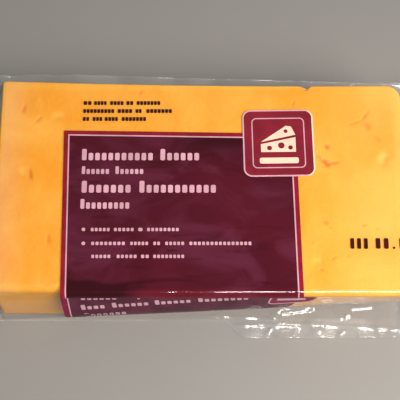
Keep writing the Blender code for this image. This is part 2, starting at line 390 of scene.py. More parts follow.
class NearSkin:
    """The film's line from the face's near end over the rounding and down to the foot."""

    FINE = 0.0001
    STEP = 0.0005
    REACH = 0.0330
    FOOT_Z = 0.0006
    AHEAD = 0.00025

    def __init__(self):
        self.places = np.arange(-BLOCK_LENGTH / 2, BLOCK_LENGTH / 2 + self.STEP / 2, self.STEP)
        self.downs = np.arange(0.0, self.REACH, self.FINE)
        lines = [self.line_at(x) for x in self.places]
        self.points = np.array([line[0] for line in lines])
        self.ends = np.array([line[1] for line in lines])

    def line_at(self, x):
        shoulder = face_height(x) - NEAR_EDGE_RADIUS
        front = near_side(x, shoulder, shoulder)
        angle = np.linspace(pi / 2, 0.0, 25)
        side_z = np.linspace(shoulder, self.FOOT_Z, 240)[1:]
        y = np.concatenate([front + NEAR_EDGE_RADIUS * (1.0 - np.cos(angle)),
                            near_side(x, side_z, shoulder)])
        z = np.concatenate([shoulder + NEAR_EDGE_RADIUS * np.sin(angle), side_z])
        run = np.concatenate([[0.0], np.cumsum(np.hypot(np.diff(y), np.diff(z)))])
        return pairs(np.interp(self.downs, run, y), np.interp(self.downs, run, z)), run[-1]

    def read(self, x, down):
        """(y, z) at x and a way down from the face's near end."""
        row = np.clip((x - self.places[0]) / self.STEP, 0.0, len(self.places) - 1.001)
        column = np.clip(down / self.FINE, 0.0, len(self.downs) - 1.001)
        i = row.astype(int)
        j = column.astype(int)
        p = (row - i)[..., None]
        q = (column - j)[..., None]
        table = self.points
        first = mix(table[i, j], table[i, j + 1], q)
        return np.moveaxis(mix(first, mix(table[i + 1, j], table[i + 1, j + 1], q), p), -1, 0)

    def place(self, x, v):
        """(y, z) and the outward normal's (y, z) of the smooth film at x and skin length v."""
        x = np.asarray(x, float)
        v = np.asarray(v, float)
        start = self.read(x, np.zeros_like(x))[0]
        down = np.maximum(start - v, 0.0)
        y, z = self.read(x, down)
        back_y, back_z = self.read(x, np.maximum(down - self.AHEAD, 0.0))
        next_y, next_z = self.read(x, down + self.AHEAD)
        run_y = next_y - back_y
        run_z = next_z - back_z
        length = np.hypot(run_y, run_z) + 1e-12
        flat = v > start
        return (np.where(flat, v, y), np.where(flat, face_height(x), z),
                np.where(flat, 0.0, run_z / length), np.where(flat, 1.0, -run_y / length))


# Points along each stretch of the film's and the cheese's outlines
FILM_SIDE_POINTS = 37
FILM_ROUND_POINTS = 12
FILM_FACE_POINTS = 84
FILM_BACK_POINTS = 9
FILM_UNDER_POINTS = 10
MARGIN_POINTS = 14
ARC_POINTS = 6
WING_POINTS = 26
CHEESE_SIDE_POINTS = 26
CHEESE_FACE_POINTS = 118
CHEESE_BACK_POINTS = 15

# Places along X at which the outlines are drawn, closer together round the bite
CHEESE_PLACES = 236
CHEESE_END_PLACES = 6
FILM_PLACES = 121
FILM_CLOSE_PLACES = 71
FILM_CLOSE_SPAN = (0.0205, 0.0555)
FILM_CORNER_PLACES = 6
TENT_PLACES = 16
SEAL_PLACES = 10
LEAST_PACE = 0.0001

# Steps across and along each printed patch, and the points of its round corners
BAND_STEPS = (90, 76)
FIELD_STEPS = (100, 90)
SIDE_STEPS = (90, 60)
BADGE_CORNER_STEPS = 8
BADGE_SIDE_STEPS = 24
BADGE_RINGS = 14

# The film's gloss seen straight on, and the ink's own finish and thickness
LEAST_GLOSS = 0.04
INK_SHARP_ANGLE = radians(50.0)
INK_THICKNESS = 0.00003
INK_ROUGHNESS = 0.11
INK_RIPPLE = 0.00016
PANEL_LIP = 0.00022

SKIN = NearSkin()
ROUNDING_LENGTH = NEAR_EDGE_RADIUS * pi / 2
FACE_START = -BLOCK_DEPTH / 2 + NEAR_EDGE_RADIUS
EDGE_V = FACE_START - ROUNDING_LENGTH


def film_relief(x, v):
    """How far the tight film stands off its smooth form: slow swells and near-edge puckers."""
    swell = 0.00003 * cloud(x, v, 0.014, 3) + 0.00001 * cloud(x, v, 0.005, 4)
    at_edge = bump(v - FACE_START + 0.0006, 0.0035)
    pucker = 0.00005 * cloud(x, v * 0.4, 0.0035, 5)
    knot = 0.00011 * bump(x - 0.0265, 0.0055) * np.sin((x - 0.0265) * 2200.0 + v * 1800.0)
    return swell + at_edge * (pucker + knot)


def on_film(x, v, lift):
    """Points on the film's outside at x and skin length v, raised by lift."""
    y, z, normal_y, normal_z = SKIN.place(x, v)
    off = film_relief(x, v) + lift
    return np.stack([x, y + normal_y * off, z + normal_z * off], axis=-1)


def length_property(name, description, default, low, high):
    return bpy.props.FloatProperty(name=name, description=description, default=default,
                                   min=low, max=high, unit="LENGTH", precision=5)


class PackSizes(bpy.types.PropertyGroup):
    """Sizes a user would change."""

    cheese_gap: length_property("Gap under film", "Between the cheese and the tight film",
                                0.0002, 0.0001, 0.001)
    film_edge: length_property("Margin thickness", "Two layers of film that cling together",
                               0.00025, 0.0001, 0.0008)
    crinkle: length_property("Crinkle height", "Height of the folds in the loose film",
                             0.0009, 0.0, 0.002)
    print_lift: length_property("Print lift", "How far the lowest ink stands on the film",
                                0.00004, 0.00001, 0.0002)
    ink_step: length_property("Ink step", "How far each ink stands on the one below",
                              0.00004, 0.00001, 0.0001)
    border_inset: length_property("Border inset", "From the panel's edge to its pale line",
                                  0.0015, 0.0005, 0.004)
    border_width: length_property("Border width", "Width of the panel's pale line",
                                  0.00040, 0.0002, 0.002)
    badge_width: length_property("Badge width", "Width of the square badge", 0.0216, 0.01, 0.03)
    badge_depth: length_property("Badge depth", "Depth of the square badge", 0.0219, 0.01, 0.03)
    badge_corner: length_property("Badge corner", "Radius of the badge's corners",
                                  0.0026, 0.0005, 0.006)
    badge_turn: bpy.props.FloatProperty(
        name="Badge turn", description="How far the badge is turned on the face",
        default=radians(0.8), min=radians(-10.0), max=radians(10.0), unit="ROTATION")
    block_share: bpy.props.FloatProperty(
        name="Block share", description="Share of a letter's place that its block takes",
        default=0.70, min=0.3, max=0.95)
    crimp_count: bpy.props.IntProperty(
        name="Crimp ridges", description="Ridges pressed into each end seal",
        default=8, min=1, max=20)
    crimp_pitch: length_property("Crimp pitch", "Distance between the seal's ridges",
                                 0.0012, 0.0005, 0.003)
    crimp_radius: length_property("Crimp radius", "Half the thickness of a ridge",
                                  0.00022, 0.0001, 0.001)


def colour_property(name, description, default):
    return bpy.props.FloatVectorProperty(
        name=name, description=description, default=default + (1.0,), size=4, min=0.0, max=1.0,
        subtype="COLOR")


class PackColours(bpy.types.PropertyGroup):
    """Colours a user would change, in linear light."""

    cheddar: colour_property("Cheddar", "The cheese where the film is a little loose",
                             (0.82, 0.335, 0.024))
    cheddar_wet: colour_property("Wet cheddar", "The cheese where the film clings",
                                 (0.83, 0.315, 0.011))
    # Pale cheddar is also the colour of the painted light towards the right end and on the lit sides
    cheddar_pale_and_lit: colour_property("Pale cheddar", "Dimples and dry streaks",
                                  (0.92, 0.49, 0.085))
    # The red in cracks and pits is painted shade in their depth, with the cheese's deeper colour
    fissure: colour_property("Fissure", "The red-orange depth of a crack",
                             (0.80, 0.13, 0.018))
    maroon: colour_property("Maroon", "The panel's field", (0.062, 0.0028, 0.010))
    # The clinging maroon is painted shade: the field where the film reflects dark
    maroon_shaded: colour_property("Clinging maroon", "The field where the film clings",
                                 (0.030, 0.0005, 0.004))
    # The sheen is a painted reflection of the glossy film, in violet patches over the field
    maroon_sheen: colour_property("Sheen on maroon", "The field where the film stands off",
                                  (0.098, 0.013, 0.033))
    band: colour_property("Band", "The panel's outer band", (0.250, 0.009, 0.021))
    badge: colour_property("Badge", "The badge's field", (0.220, 0.013, 0.027))
    pale_ink: colour_property("Pale ink", "Lines and word blocks", (0.64, 0.34, 0.41))
    peach_ink: colour_property("Peach ink", "The badge's picture", (0.86, 0.60, 0.46))
    dark_ink: colour_property("Dark ink", "Marks printed on the clear film",
                              (0.050, 0.006, 0.005))
    # The side colours hold a painted sheen, a pinkish veil of reflection over the maroon ink
    side_maroon_and_sheen: colour_property("Side maroon", "The field of the side panel",
                                 (0.115, 0.030, 0.052))
    side_band_and_sheen: colour_property("Side band", "The outer band of the side panel",
                               (0.240, 0.022, 0.065))
    floor: colour_property("Floor", "The studio floor", (0.25, 0.236, 0.224))


def new_tree(name):
    material = bpy.data.materials.new(name)
    material.use_nodes = True
    material.node_tree.nodes.clear()
    return material, material.node_tree


def add_node(tree, kind, values=None, **settings):
    """A node with its own settings, and its inputs set by name or place."""
    made = tree.nodes.new(kind)
    for key, value in settings.items():
        setattr(made, key, value)
    for key, value in (values or {}).items():
        made.inputs[key].default_value = value
    return made


def mix_colours(tree, share, first, second):
    """A colour mix whose inputs are sockets or plain colours."""
    made = add_node(tree, "ShaderNodeMix", data_type="RGBA")
    for socket, value in ((made.inputs[0], share), (made.inputs[6], first), (made.inputs[7], second)):
        if isinstance(value, bpy.types.NodeSocket):
            tree.links.new(value, socket)
        else:
            socket.default_value = value
    return made.outputs[2]


def darkened(colour, share):
    return tuple(value * share for value in colour[:3]) + (1.0,)


def mix_shaders(tree, *sources):
    """A mix of two shaders, after the share of the second."""
    made = add_node(tree, "ShaderNodeMixShader")
    for socket, source in zip(made.inputs, sources):
        tree.links.new(source, socket)
    return made.outputs[0]


def spread_range(tree, value, low, high, to_low=0.0, to_high=1.0):
    made = add_node(tree, "ShaderNodeMapRange",
                    {1: low, 2: high, 3: to_low, 4: to_high}, interpolation_type="SMOOTHSTEP")
    tree.links.new(value, made.inputs[0])
    return made.outputs[0]


def object_noise(tree, scale, detail, stretch=(1.0, 1.0, 1.0), distortion=0.0):
    """Noise on the piece's own metres, stretched along an axis where stretch is small."""
    place = add_node(tree, "ShaderNodeTexCoord")
    turn = add_node(tree, "ShaderNodeMapping")
    turn.inputs["Scale"].default_value = stretch
    noise = add_node(tree, "ShaderNodeTexNoise",
                     {"Scale": scale, "Detail": detail, "Roughness": 0.55,
                      "Distortion": distortion})
    tree.links.new(place.outputs["Object"], turn.inputs["Vector"])
    tree.links.new(turn.outputs["Vector"], noise.inputs["Vector"])
    return noise.outputs["Fac"]


def mark(tree, name):
    """A float painted on the piece's points."""
    return add_node(tree, "ShaderNodeAttribute", attribute_name=name).outputs["Fac"]


def bumped(tree, height, distance, under=None):
    made = add_node(tree, "ShaderNodeBump", {"Strength": 1.0, "Distance": distance})
    tree.links.new(height, made.inputs["Height"])
    if under is not None:
        tree.links.new(under, made.inputs["Normal"])
    return made.outputs["Normal"]


def thin_gloss(tree, normal):
    """Share of light that a thin sheet mirrors, the same from either face."""
    weight = add_node(tree, "ShaderNodeLayerWeight", {"Blend": 0.5})
    tree.links.new(normal, weight.inputs["Normal"])
    steep = add_node(tree, "ShaderNodeMath", {1: 5.0}, operation="POWER")
    tree.links.new(weight.outputs["Facing"], steep.inputs[0])
    share = add_node(tree, "ShaderNodeMath", {1: 1.0 - LEAST_GLOSS, 2: LEAST_GLOSS},
                     operation="MULTIPLY_ADD")
    tree.links.new(steep.outputs[0], share.inputs[0])
    return share.outputs[0]


def close_tree(tree, shader):
    output = add_node(tree, "ShaderNodeOutputMaterial")
    tree.links.new(shader, output.inputs["Surface"])


def close_principled(tree, values, base=None, normal=None):
    """The tree's one main shader, with its colour and its bump, joined to the output."""
    shader = add_node(tree, "ShaderNodeBsdfPrincipled", values)
    for source, name in ((base, "Base Color"), (normal, "Normal")):
        if source is not None:
            tree.links.new(source, shader.inputs[name])
    close_tree(tree, shader.outputs[0])


def film_ripple(tree):
    return object_noise(tree, 130.0, 3.0, stretch=(1.0, 0.35, 1.0), distortion=0.8)


def close_ink(tree, base, gloss):
    """Ink that lies on the film and ripples with it."""
    close_principled(tree, {"Roughness": INK_ROUGHNESS, "Specular IOR Level": gloss}, base,
                     bumped(tree, film_ripple(tree), INK_RIPPLE))


def cheddar_material(colours):
    """Moist cheese: clinging and standing-off patches, pale dimples, painted light towards the right
    end, and red fissures with painted shade in them.
    """
    material, tree = new_tree("cheddar")
    soft = object_noise(tree, 55.0, 4.0, distortion=0.6)
    fine = object_noise(tree, 900.0, 5.0)
    grain = object_noise(tree, 210.0, 3.0, stretch=(1.0, 0.45, 1.0))
    patch = spread_range(tree, soft, 0.36, 0.66)
    base = mix_colours(tree, mark(tree, "wet"), colours.cheddar, colours.cheddar_wet)
    paler = mix_colours(tree, 0.35, base, colours.cheddar_pale_and_lit)
    base = mix_colours(tree, patch, base, paler)
    speck = spread_range(tree, grain, 0.45, 0.75, 0.0, 0.16)
    base = mix_colours(tree, speck, base, colours.cheddar_pale_and_lit)
    # Pale marks: dimples and streaks, and painted light towards the right end and on the sides
    base = mix_colours(tree, mark(tree, "pale"), base, colours.cheddar_pale_and_lit)
    # Painted shade in cracks and pits, red-orange like the cheese's depth
    base = mix_colours(tree, mark(tree, "fissure"), base, colours.fissure)
    rough = bumped(tree, fine, 0.00012)
    close_principled(tree, {
        "Roughness": 0.42, "Specular IOR Level": 0.12, "Subsurface Weight": 0.25,
        "Subsurface Radius": (0.0030, 0.0012, 0.0004), "Subsurface Scale": 1.0},
        base, bumped(tree, grain, 0.00022, under=rough))
    return material


def film_material():
    """Clear glossy film, hazier where it stands off and crinkles."""
    material, tree = new_tree("clear_film")
    fold = object_noise(tree, 420.0, 2.0, stretch=(0.4, 1.0, 1.0))
    normal = bumped(tree, fold, 0.00003, under=bumped(tree, film_ripple(tree), 0.00018))
    clear = add_node(tree, "ShaderNodeBsdfTransparent", {"Color": (0.985, 0.985, 0.985, 1.0)})
    gloss = add_node(tree, "ShaderNodeBsdfGlossy",
                     {"Color": (1.0, 1.0, 1.0, 1.0), "Roughness": 0.09})
    facing = thin_gloss(tree, normal)
    milk = add_node(tree, "ShaderNodeBsdfDiffuse", {"Color": (0.80, 0.79, 0.78, 1.0)})
    tree.links.new(normal, gloss.inputs["Normal"])
    body = mix_shaders(tree, mark(tree, "haze"), clear.outputs[0], milk.outputs[0])
    close_tree(tree, mix_shaders(tree, facing, body, gloss.outputs[0]))
    return material


def ink_material(name, ink, mottle, gloss=0.45, warm_ink=None):
    """Glossy ink on film, a little uneven; a second ink may be painted in by its share."""
    if name in bpy.data.materials:
        return bpy.data.materials[name]
    material, tree = new_tree(name)
    soft = object_noise(tree, 160.0, 3.0)
    base = mix_colours(tree, spread_range(tree, soft, 0.35, 0.65), darkened(ink, mottle), ink)
    if warm_ink is not None:
        base = mix_colours(tree, mark(tree, "warm"), base, warm_ink)
    close_ink(tree, base, gloss)
    return material


def pale_print(colours):
    return ink_material("pale_print", colours.pale_ink, 0.82)


def field_material(name, colours, gloss):
    """The maroon field: painted reflection as violet sheen patches, painted shade as deep red streaks
    and marked patches.
    """
    material, tree = new_tree(name)
    soft = object_noise(tree, 62.0, 4.0, stretch=(0.75, 1.2, 1.0), distortion=0.9)
    streak = object_noise(tree, 120.0, 3.0, stretch=(0.35, 1.6, 1.0), distortion=1.4)
    # Painted reflection: violet sheen patches over the field
    sheen = spread_range(tree, soft, 0.42, 0.68, 0.0, 0.85)
    base = mix_colours(tree, sheen, colours.maroon, colours.maroon_sheen)
    # Painted shade in dark streaks, and where the panel marks it
    dark = spread_range(tree, streak, 0.56, 0.74, 0.0, 0.55)
    base = mix_colours(tree, dark, base, colours.maroon_shaded)
    base = mix_colours(tree, mark(tree, "painted_shade"), base, colours.maroon_shaded)
    base = mix_colours(tree, mark(tree, "redder"), base, colours.band)
    close_ink(tree, base, gloss)
    return material


def crimp_material():
    """Pressed film of the end seals: milky, glossy ridges."""
    material, tree = new_tree("crimped_film")
    fold = object_noise(tree, 420.0, 3.0)
    close_principled(tree, {"Base Color": (0.80, 0.79, 0.77, 1.0), "Roughness": 0.2,
                            "Alpha": 0.25}, normal=bumped(tree, fold, 0.0001))
    return material


def mesh_from(name, points, faces):
    """A mesh of points in the block's own frame, moved into the pack's."""
    moved = np.array(points, float).reshape(-1, 3) + np.array((0.0, BLOCK_SHIFT_Y, 0.0))
    mesh = bpy.data.meshes.new(name)
    mesh.from_pydata(moved.tolist(), [], faces)
    mesh.update()
    return mesh


def face_outward(mesh):
    work = bmesh.new()
    work.from_mesh(mesh)
    bmesh.ops.recalc_face_normals(work, faces=work.faces)
    work.to_mesh(mesh)
    work.free()


def paint(mesh, name, values):
    layer = mesh.attributes.new(name, "FLOAT", "POINT")
    layer.data.foreach_set("value", np.asarray(values, np.float32).ravel())


def add_piece(name, mesh, material):
    """An object of the mesh that rides on the pack."""
    mesh.name = name
    mesh.materials.clear()
    mesh.materials.append(material)
    piece = bpy.data.objects.new(name, mesh)
    bpy.context.scene.collection.objects.link(piece)
    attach(piece, "root")
    return piece


def loft(name, rings):
    """A closed mesh through rings of points, with quads across each end."""
    count = len(rings[0])
    faces = []
    for i in range(len(rings) - 1):
        here = i * count
        there = here + count
        for j in range(count):
            k = (j + 1) % count
            faces.append((here + j, there + j, there + k, here + k))
    for start in (0, (len(rings) - 1) * count):
        for j in range(count // 2 - 1):
            faces.append((start + j, start + j + 1, start + count - 2 - j, start + count - 1 - j))
    mesh = mesh_from(name, np.concatenate(rings), faces)
    face_outward(mesh)
    mesh.shade_smooth()
    return mesh


def open_spread(start, end, count):
    return np.linspace(start, end, count + 2)[1:-1]


def fold_lift(x, y):
    """Height of the near wing's own folds at a point."""
    lift = np.zeros(np.shape(y))
    for path, width, height in WING_FOLDS:
        nearest = np.full(np.shape(y), 1.0)
        for (ax, ay), (bx, by) in zip(path, path[1:]):
            run_x = bx - ax
            run_y = by - ay
            share = ((x - ax) * run_x + (y - ay) * run_y) / (run_x * run_x + run_y * run_y)
            share = np.clip(share, 0.0, 1.0)
            nearest = np.minimum(nearest, np.hypot(x - ax - share * run_x, y - ay - share * run_y))
        lift = np.maximum(lift, height * bump(nearest, width))
    return lift


def wing_lift(x, y, foot, sizes):
    """Height of the near wing's lower layer: ripples, folds and crinkles."""
    reach = np.clip((foot - y) / np.maximum(foot - near_wing_edge(x), 1e-5), 0.0, 1.0)
    wing = smooth_step(WING_START_X, WING_FULL_X, x)
    lift = reach * WING_RIPPLE * (1.0 + np.sin(tau * x / WING_RIPPLE_PITCH))
    fold = 0.0008 * bump(y + 0.0374 - 0.0012 * np.sin(x * 60.0), 0.0009)
    crease = sizes.crinkle * creases(x, y, 0.0045, 21) * reach
    return wing * (lift + fold * reach + crease) + fold_lift(x, y) * np.minimum(reach * 8.0, 1.0)


def margin_lift(x, y, sizes):
    """Height of the far margin's crinkles over its middle plane."""
    reach = np.clip((y - far_edge(x)) / np.maximum(far_margin_edge(x) - far_edge(x), 1e-5), 0.0, 1.0)
    corner = smooth_step(0.030, 0.062, np.abs(x))
    crease = creases(x, y, 0.0040, 31) - 0.35
    wave = cloud(x, y, 0.012, 33)
    return reach * sizes.crinkle * (crease * mix(0.7, 1.5, corner) + 0.5 * wave)


def film_chains(x, sizes):
    """Upper and lower halves of the film's outline at x, within the block."""
    top = float(face_height(x))
    fin = sizes.film_edge
    start_y = float(SKIN.read(np.array([x]), np.zeros(1))[0, 0])
    run = float(np.interp(x, SKIN.places, SKIN.ends))
    back = float(far_edge(x))
    foot = float(near_side(x, NearSkin.FOOT_Z, top - NEAR_EDGE_RADIUS))
    wing_y = np.linspace(float(near_wing_edge(x)), foot, WING_POINTS)
    wing_z = fin + wing_lift(x, wing_y, foot, sizes)
    side_v = start_y - np.linspace(run, ROUNDING_LENGTH, FILM_SIDE_POINTS + 1)[1:]
    arc_v = start_y - np.linspace(ROUNDING_LENGTH, 0.0, FILM_ROUND_POINTS + 1)[1:]
    face_v = open_spread(start_y, back - FAR_EDGE_RADIUS, FILM_FACE_POINTS)
    v = np.concatenate([side_v, arc_v, face_v])
    tight = on_film(np.full_like(v, x), v, 0.0)[:, 1:]
    angle = np.linspace(pi / 2, 0.0, ARC_POINTS)
    round_y = back - FAR_EDGE_RADIUS * (1.0 - np.cos(angle))
    round_z = top - FAR_EDGE_RADIUS * (1.0 - np.sin(angle))
    side_z = open_spread(top - FAR_EDGE_RADIUS, FAR_MARGIN_HEIGHT + fin / 2, FILM_BACK_POINTS)
    far_y = np.concatenate([round_y, np.full(FILM_BACK_POINTS, back)])
    far_z = np.concatenate([round_z, side_z])
    far_y = far_y - notch_push(x, far_y, far_z)
    margin_y = np.linspace(back, float(far_margin_edge(x)), MARGIN_POINTS)
    margin_z = FAR_MARGIN_HEIGHT + margin_lift(x, margin_y, sizes)
    upper = np.concatenate([pairs(wing_y, wing_z), tight, pairs(far_y, far_z),
                            pairs(margin_y, margin_z + fin / 2)])
    under_z = open_spread(FAR_MARGIN_HEIGHT - fin / 2, FOOT_RADIUS, FILM_UNDER_POINTS)
    turn = np.linspace(0.0, pi / 2, ARC_POINTS)
    low_y = back - FOOT_RADIUS * (1.0 - np.cos(turn))
    low_z = FOOT_RADIUS * (1.0 - np.sin(turn)) + 0.0001
    fixed = MARGIN_POINTS + FILM_UNDER_POINTS + ARC_POINTS + WING_POINTS
    base_y = open_spread(back - FOOT_RADIUS, foot, len(upper) - fixed)
    base_z = 0.00022 + 0.00006 * cloud(np.full_like(base_y, x), base_y, 0.008, 9)
    wing_low = wing_lift(x, wing_y[::-1], foot, sizes) + 0.00002
    lower = np.concatenate([
        pairs(margin_y, margin_z - fin / 2)[::-1], pairs(np.full(FILM_UNDER_POINTS, back), under_z),
        pairs(low_y, low_z), pairs(base_y, base_z), pairs(wing_y[::-1], wing_low)])
    return upper, lower


def seal_line(x, chain, side, sizes):
    """The flat seal's face, its points spread as the chain's are along their length."""
    run = np.concatenate([[0.0], np.cumsum(np.hypot(*np.diff(chain, axis=0).T))])
    share = run / run[-1]
    if side < 0:
        share = 1.0 - share
    y = mix(float(near_wing_edge(x)), float(far_margin_edge(x)), share)
    z = seal_height(y) + side * sizes.film_edge / 2
    return np.stack([y, z], 1)


def film_ring(x, sizes):
    """The film's closed outline at x, drawn in to the flat seal past the block's ends."""
    end = BLOCK_LENGTH / 2
    closed = float(np.clip((abs(x) - end) / TENT_LENGTH, 0.0, 1.0))
    upper, lower = film_chains(float(np.clip(x, -end, end)), sizes)
    if closed > 0.0:
        fall = 1.0 - (1.0 - closed) ** 2
        chains = []
        for chain, side in ((upper, 1.0), (lower, -1.0)):
            flat = seal_line(x, chain, side, sizes)
            drawn = np.stack([mix(chain[:, 0], flat[:, 0], closed),
                              mix(chain[:, 1], flat[:, 1], fall)], 1)
            slack = 4.0 * closed * (1.0 - closed)
            pleat = creases(drawn[:, 0], np.full(len(drawn), x * 0.3), 0.0038, 41) - 0.4
            crumple = cloud(drawn[:, 0], np.full(len(drawn), x), 0.0026, 43)
            lift = slack * sizes.crinkle * (0.9 * pleat + 0.5 * crumple)
            drawn[:, 1] = np.maximum(drawn[:, 1] + lift, 0.00005)
            chains.append(drawn)
        upper, lower = chains
    ring = np.concatenate([upper, lower])
    return np.column_stack([np.full(len(ring), x), ring])


def film_haze(points):
    """Share of milk in the film: least where it lies tight, most at folds and margins."""
    x, y, z = points.T
    # How much each point belongs to the face, an end, a margin, the wing or a side
    tight = (z > BLOCK_HEIGHT - 0.0007) & (y > -BLOCK_DEPTH / 2)
    beyond_end = smooth_step(BLOCK_LENGTH / 2 - 0.002, BLOCK_LENGTH / 2 + 0.002, np.abs(x))
    margin = smooth_step(0.0, 0.0015, y - far_edge(x))
    wing = smooth_step(0.0, 0.0015, near_edge(x) - y) * smooth_step(0.004, 0.001, z)
    side = smooth_step(BLOCK_HEIGHT - 0.0006, BLOCK_HEIGHT - 0.0045, z) * (1.0 - margin)
    near_left = side * smooth_step(0.0, -0.05, x) * smooth_step(0.0, -0.02, y)
    smear = 0.5 + 0.5 * cloud(x, y, 0.006, 51)
    haze = 0.01 + 0.02 * side + 0.04 * near_left * (0.6 + 0.6 * smear)
    loose = np.maximum(margin, np.maximum(wing, beyond_end))
    haze = haze + (0.03 + 0.09 * smear + 0.30 * fold_lift(x, y) / 0.0010 * wing) * loose
    # A ragged milky patch high on the near side, towards the right end
    ragged = 0.0040 * cloud(z, x * 0.3, 0.0030, 52)
    strip = side * smooth_step(0.0090, 0.0195, z + 0.3 * ragged) * (y < 0.0)
    strip = strip * smooth_step(0.0290, 0.0440, x + ragged) * (0.7 + 0.5 * smear)
    haze = haze + 0.27 * strip
    clouded = smooth_step(-0.050, -0.0615, x) * 0.08 + smooth_step(0.030, 0.060, x) * 0.02
    return np.where(tight, 0.004 + clouded + 0.008 * smear, np.clip(haze, 0.0, 0.6))


def cheese_paint(x, y):
    """Depth of the marks, and how wet, pale and red the face is, at each point; the pale holds
    painted light towards the right end, the red painted shade in cracks.
    """
    depth = np.zeros_like(x)
    red_and_shade = np.zeros_like(x)
    pale = np.zeros_like(x)
    for at_x, at_y, length, width, deep, turn, kind in CHEESE_MARKS:
        c = cos(radians(turn))
        s = sin(radians(turn))
        along = (x - at_x) * c + (y - at_y) * s
        across = (y - at_y) * c - (x - at_x) * s
        wander = 0.35 * width * cloud(along, across * 0.0, length / 3.0, 61)
        reach = np.exp(-((along / (0.5 * length)) ** 4) - ((across + wander) / (0.5 * width)) ** 2)
        depth = depth + deep * reach
        red_and_shade = np.maximum(red_and_shade, MARK_RED_AND_SHADE.get(kind, 0.0) * reach)
        pale = np.maximum(pale, MARK_PALE.get(kind, 0.0) * reach)
        if kind in ("crack", "fissure"):
            lip = bump(np.hypot(along / 1.2, across - 0.9 * width), length * 0.35)
            pale = np.maximum(pale, 0.18 * lip)
    # The far limit of the wet film: it slopes down from the left and steps up at the right
    left_line = 0.0343 - (x + 0.0468) * 0.505
    left_line = np.maximum(left_line, 0.0258 + 0.0012 * np.sin(x * 90.0))
    right_line = 0.0262 + smooth_step(0.0190, 0.0305, x) * 0.0080
    boundary = np.where(x < 0.0, left_line, np.minimum(right_line, 0.0345))
    boundary = boundary + 0.0006 * cloud(x, y, 0.006, 71)
    above = smooth_step(-0.0006, 0.0010, y - boundary)
    wet = 0.62 + 0.28 * cloud(x, y, 0.012, 72) - 0.75 * above * smooth_step(0.045, 0.030, np.abs(x))
    wet = wet - 0.25 * smooth_step(-0.040, -0.058, x) + 0.10 * smooth_step(0.03, 0.05, x)
    # Paler cheese: both long edges, streaks at the left, and painted light brightening the right end
    edge = smooth_step(0.0310, 0.0335, y) * 0.35
    pale = np.maximum(pale, np.maximum(edge, 0.30 * smooth_step(-0.0285, -0.0325, y)))
    streak = smooth_step(0.25, 0.8, cloud(x * 3.0, y, 0.018, 73))
    pale = np.maximum(pale, 0.28 * streak * smooth_step(-0.03, -0.045, x))
    painted_light = smooth_step(0.016, 0.060, x) * (0.42 + 0.30 * cloud(x, y, 0.011, 74))
    # A painted highlight on the rounded right end, and painted light near the right of the near edge
    painted_light = painted_light + 0.35 * smooth_step(0.0575, 0.0605, x)
    painted_light = painted_light + 0.30 * smooth_step(0.030, 0.050, x) * smooth_step(-0.0175, -0.0275, y)
    pale = np.maximum(pale, painted_light)
    return depth, np.clip(wet, 0.0, 1.0), np.clip(pale, 0.0, 1.0), np.clip(red_and_shade, 0.0, 1.0)


def bite_push(x, y, z):
    """The bite in the cheese: a gentle slope from the left to a steep right side."""
    left = np.clip((x - NOTCH_X + BITE_LEFT) / BITE_LEFT_SLOPE, 0.0, 1.0)
    right = np.clip((NOTCH_X + BITE_RIGHT - x) / BITE_RIGHT_SLOPE, 0.0, 1.0)
    down = np.clip((BLOCK_HEIGHT - z) / BITE_DOWN, 0.0, 1.0)
    back = np.clip((far_edge(x) - y) / BITE_BACK, 0.0, 1.0)
    shape = left * right * (1.0 - down) * (1.0 - back)
    return BITE_DEPTH * shape * (1.0 + 0.25 * cloud(x, z, 0.0012, 83))


def cheese_ring(x, sizes):
    """The cheese's outline at x, a gap inside the film and flat where the film bulges."""
    gap = sizes.cheese_gap
    stretch = BLOCK_LENGTH / 2 / (BLOCK_LENGTH / 2 - CHEESE_END_GAP)
    at = float(np.clip(x * stretch, -BLOCK_LENGTH / 2, BLOCK_LENGTH / 2))
    top = BLOCK_HEIGHT - gap - float(end_drop(at, CHEESE_EDGE_RADIUS))
    back = float(far_edge(at)) - CHEESE_FAR_GAP
    worn = float(smooth_step(-0.016, -0.040, x))
    radius = mix(NEAR_EDGE_RADIUS, CHEESE_WORN_RADIUS, worn)
    shoulder = top - radius
    side_z = np.linspace(FOOT_RADIUS, shoulder, CHEESE_SIDE_POINTS)
    film_y = near_side(at, side_z, float(face_height(at)) - NEAR_EDGE_RADIUS)
    upright_y = near_edge(at) + FOOT_INSET_LEAST * (1.0 - side_z / BLOCK_HEIGHT)
    side_y = np.maximum(film_y, upright_y) + gap + CHEESE_WORN_INSET * worn * side_z / shoulder
    side_y = side_y + 0.00005 + 0.00005 * cloud(np.full_like(side_z, x), side_z, 0.003, 81)
    angle = np.linspace(0.0, pi / 2, 8)[1:]
    round_y = side_y[-1] + radius * (1.0 - np.cos(angle))
    round_z = shoulder + radius * np.sin(angle)
    face_y = open_spread(round_y[-1], back - CHEESE_EDGE_RADIUS, CHEESE_FACE_POINTS)
    turn = np.linspace(pi / 2, 0.0, 7)
    far_y = back - CHEESE_EDGE_RADIUS * (1.0 - np.cos(turn))
    far_z = top - CHEESE_EDGE_RADIUS * (1.0 - np.sin(turn))
    down_z = np.linspace(top - CHEESE_EDGE_RADIUS, FOOT_RADIUS, CHEESE_BACK_POINTS + 1)[1:]
    y = np.concatenate([side_y, round_y, face_y, far_y, np.full_like(down_z, back)])
    z = np.concatenate([side_z, round_z, np.full_like(face_y, top), far_z, down_z])
    y = y - bite_push(x, y, z)
    base_y = np.linspace(back - FOOT_RADIUS, side_y[0] + FOOT_RADIUS, len(y))
    return np.column_stack([np.full(2 * len(y), x), np.concatenate([y, base_y]),
                            np.concatenate([z, np.full_like(y, CHEESE_BASE_Z)])])


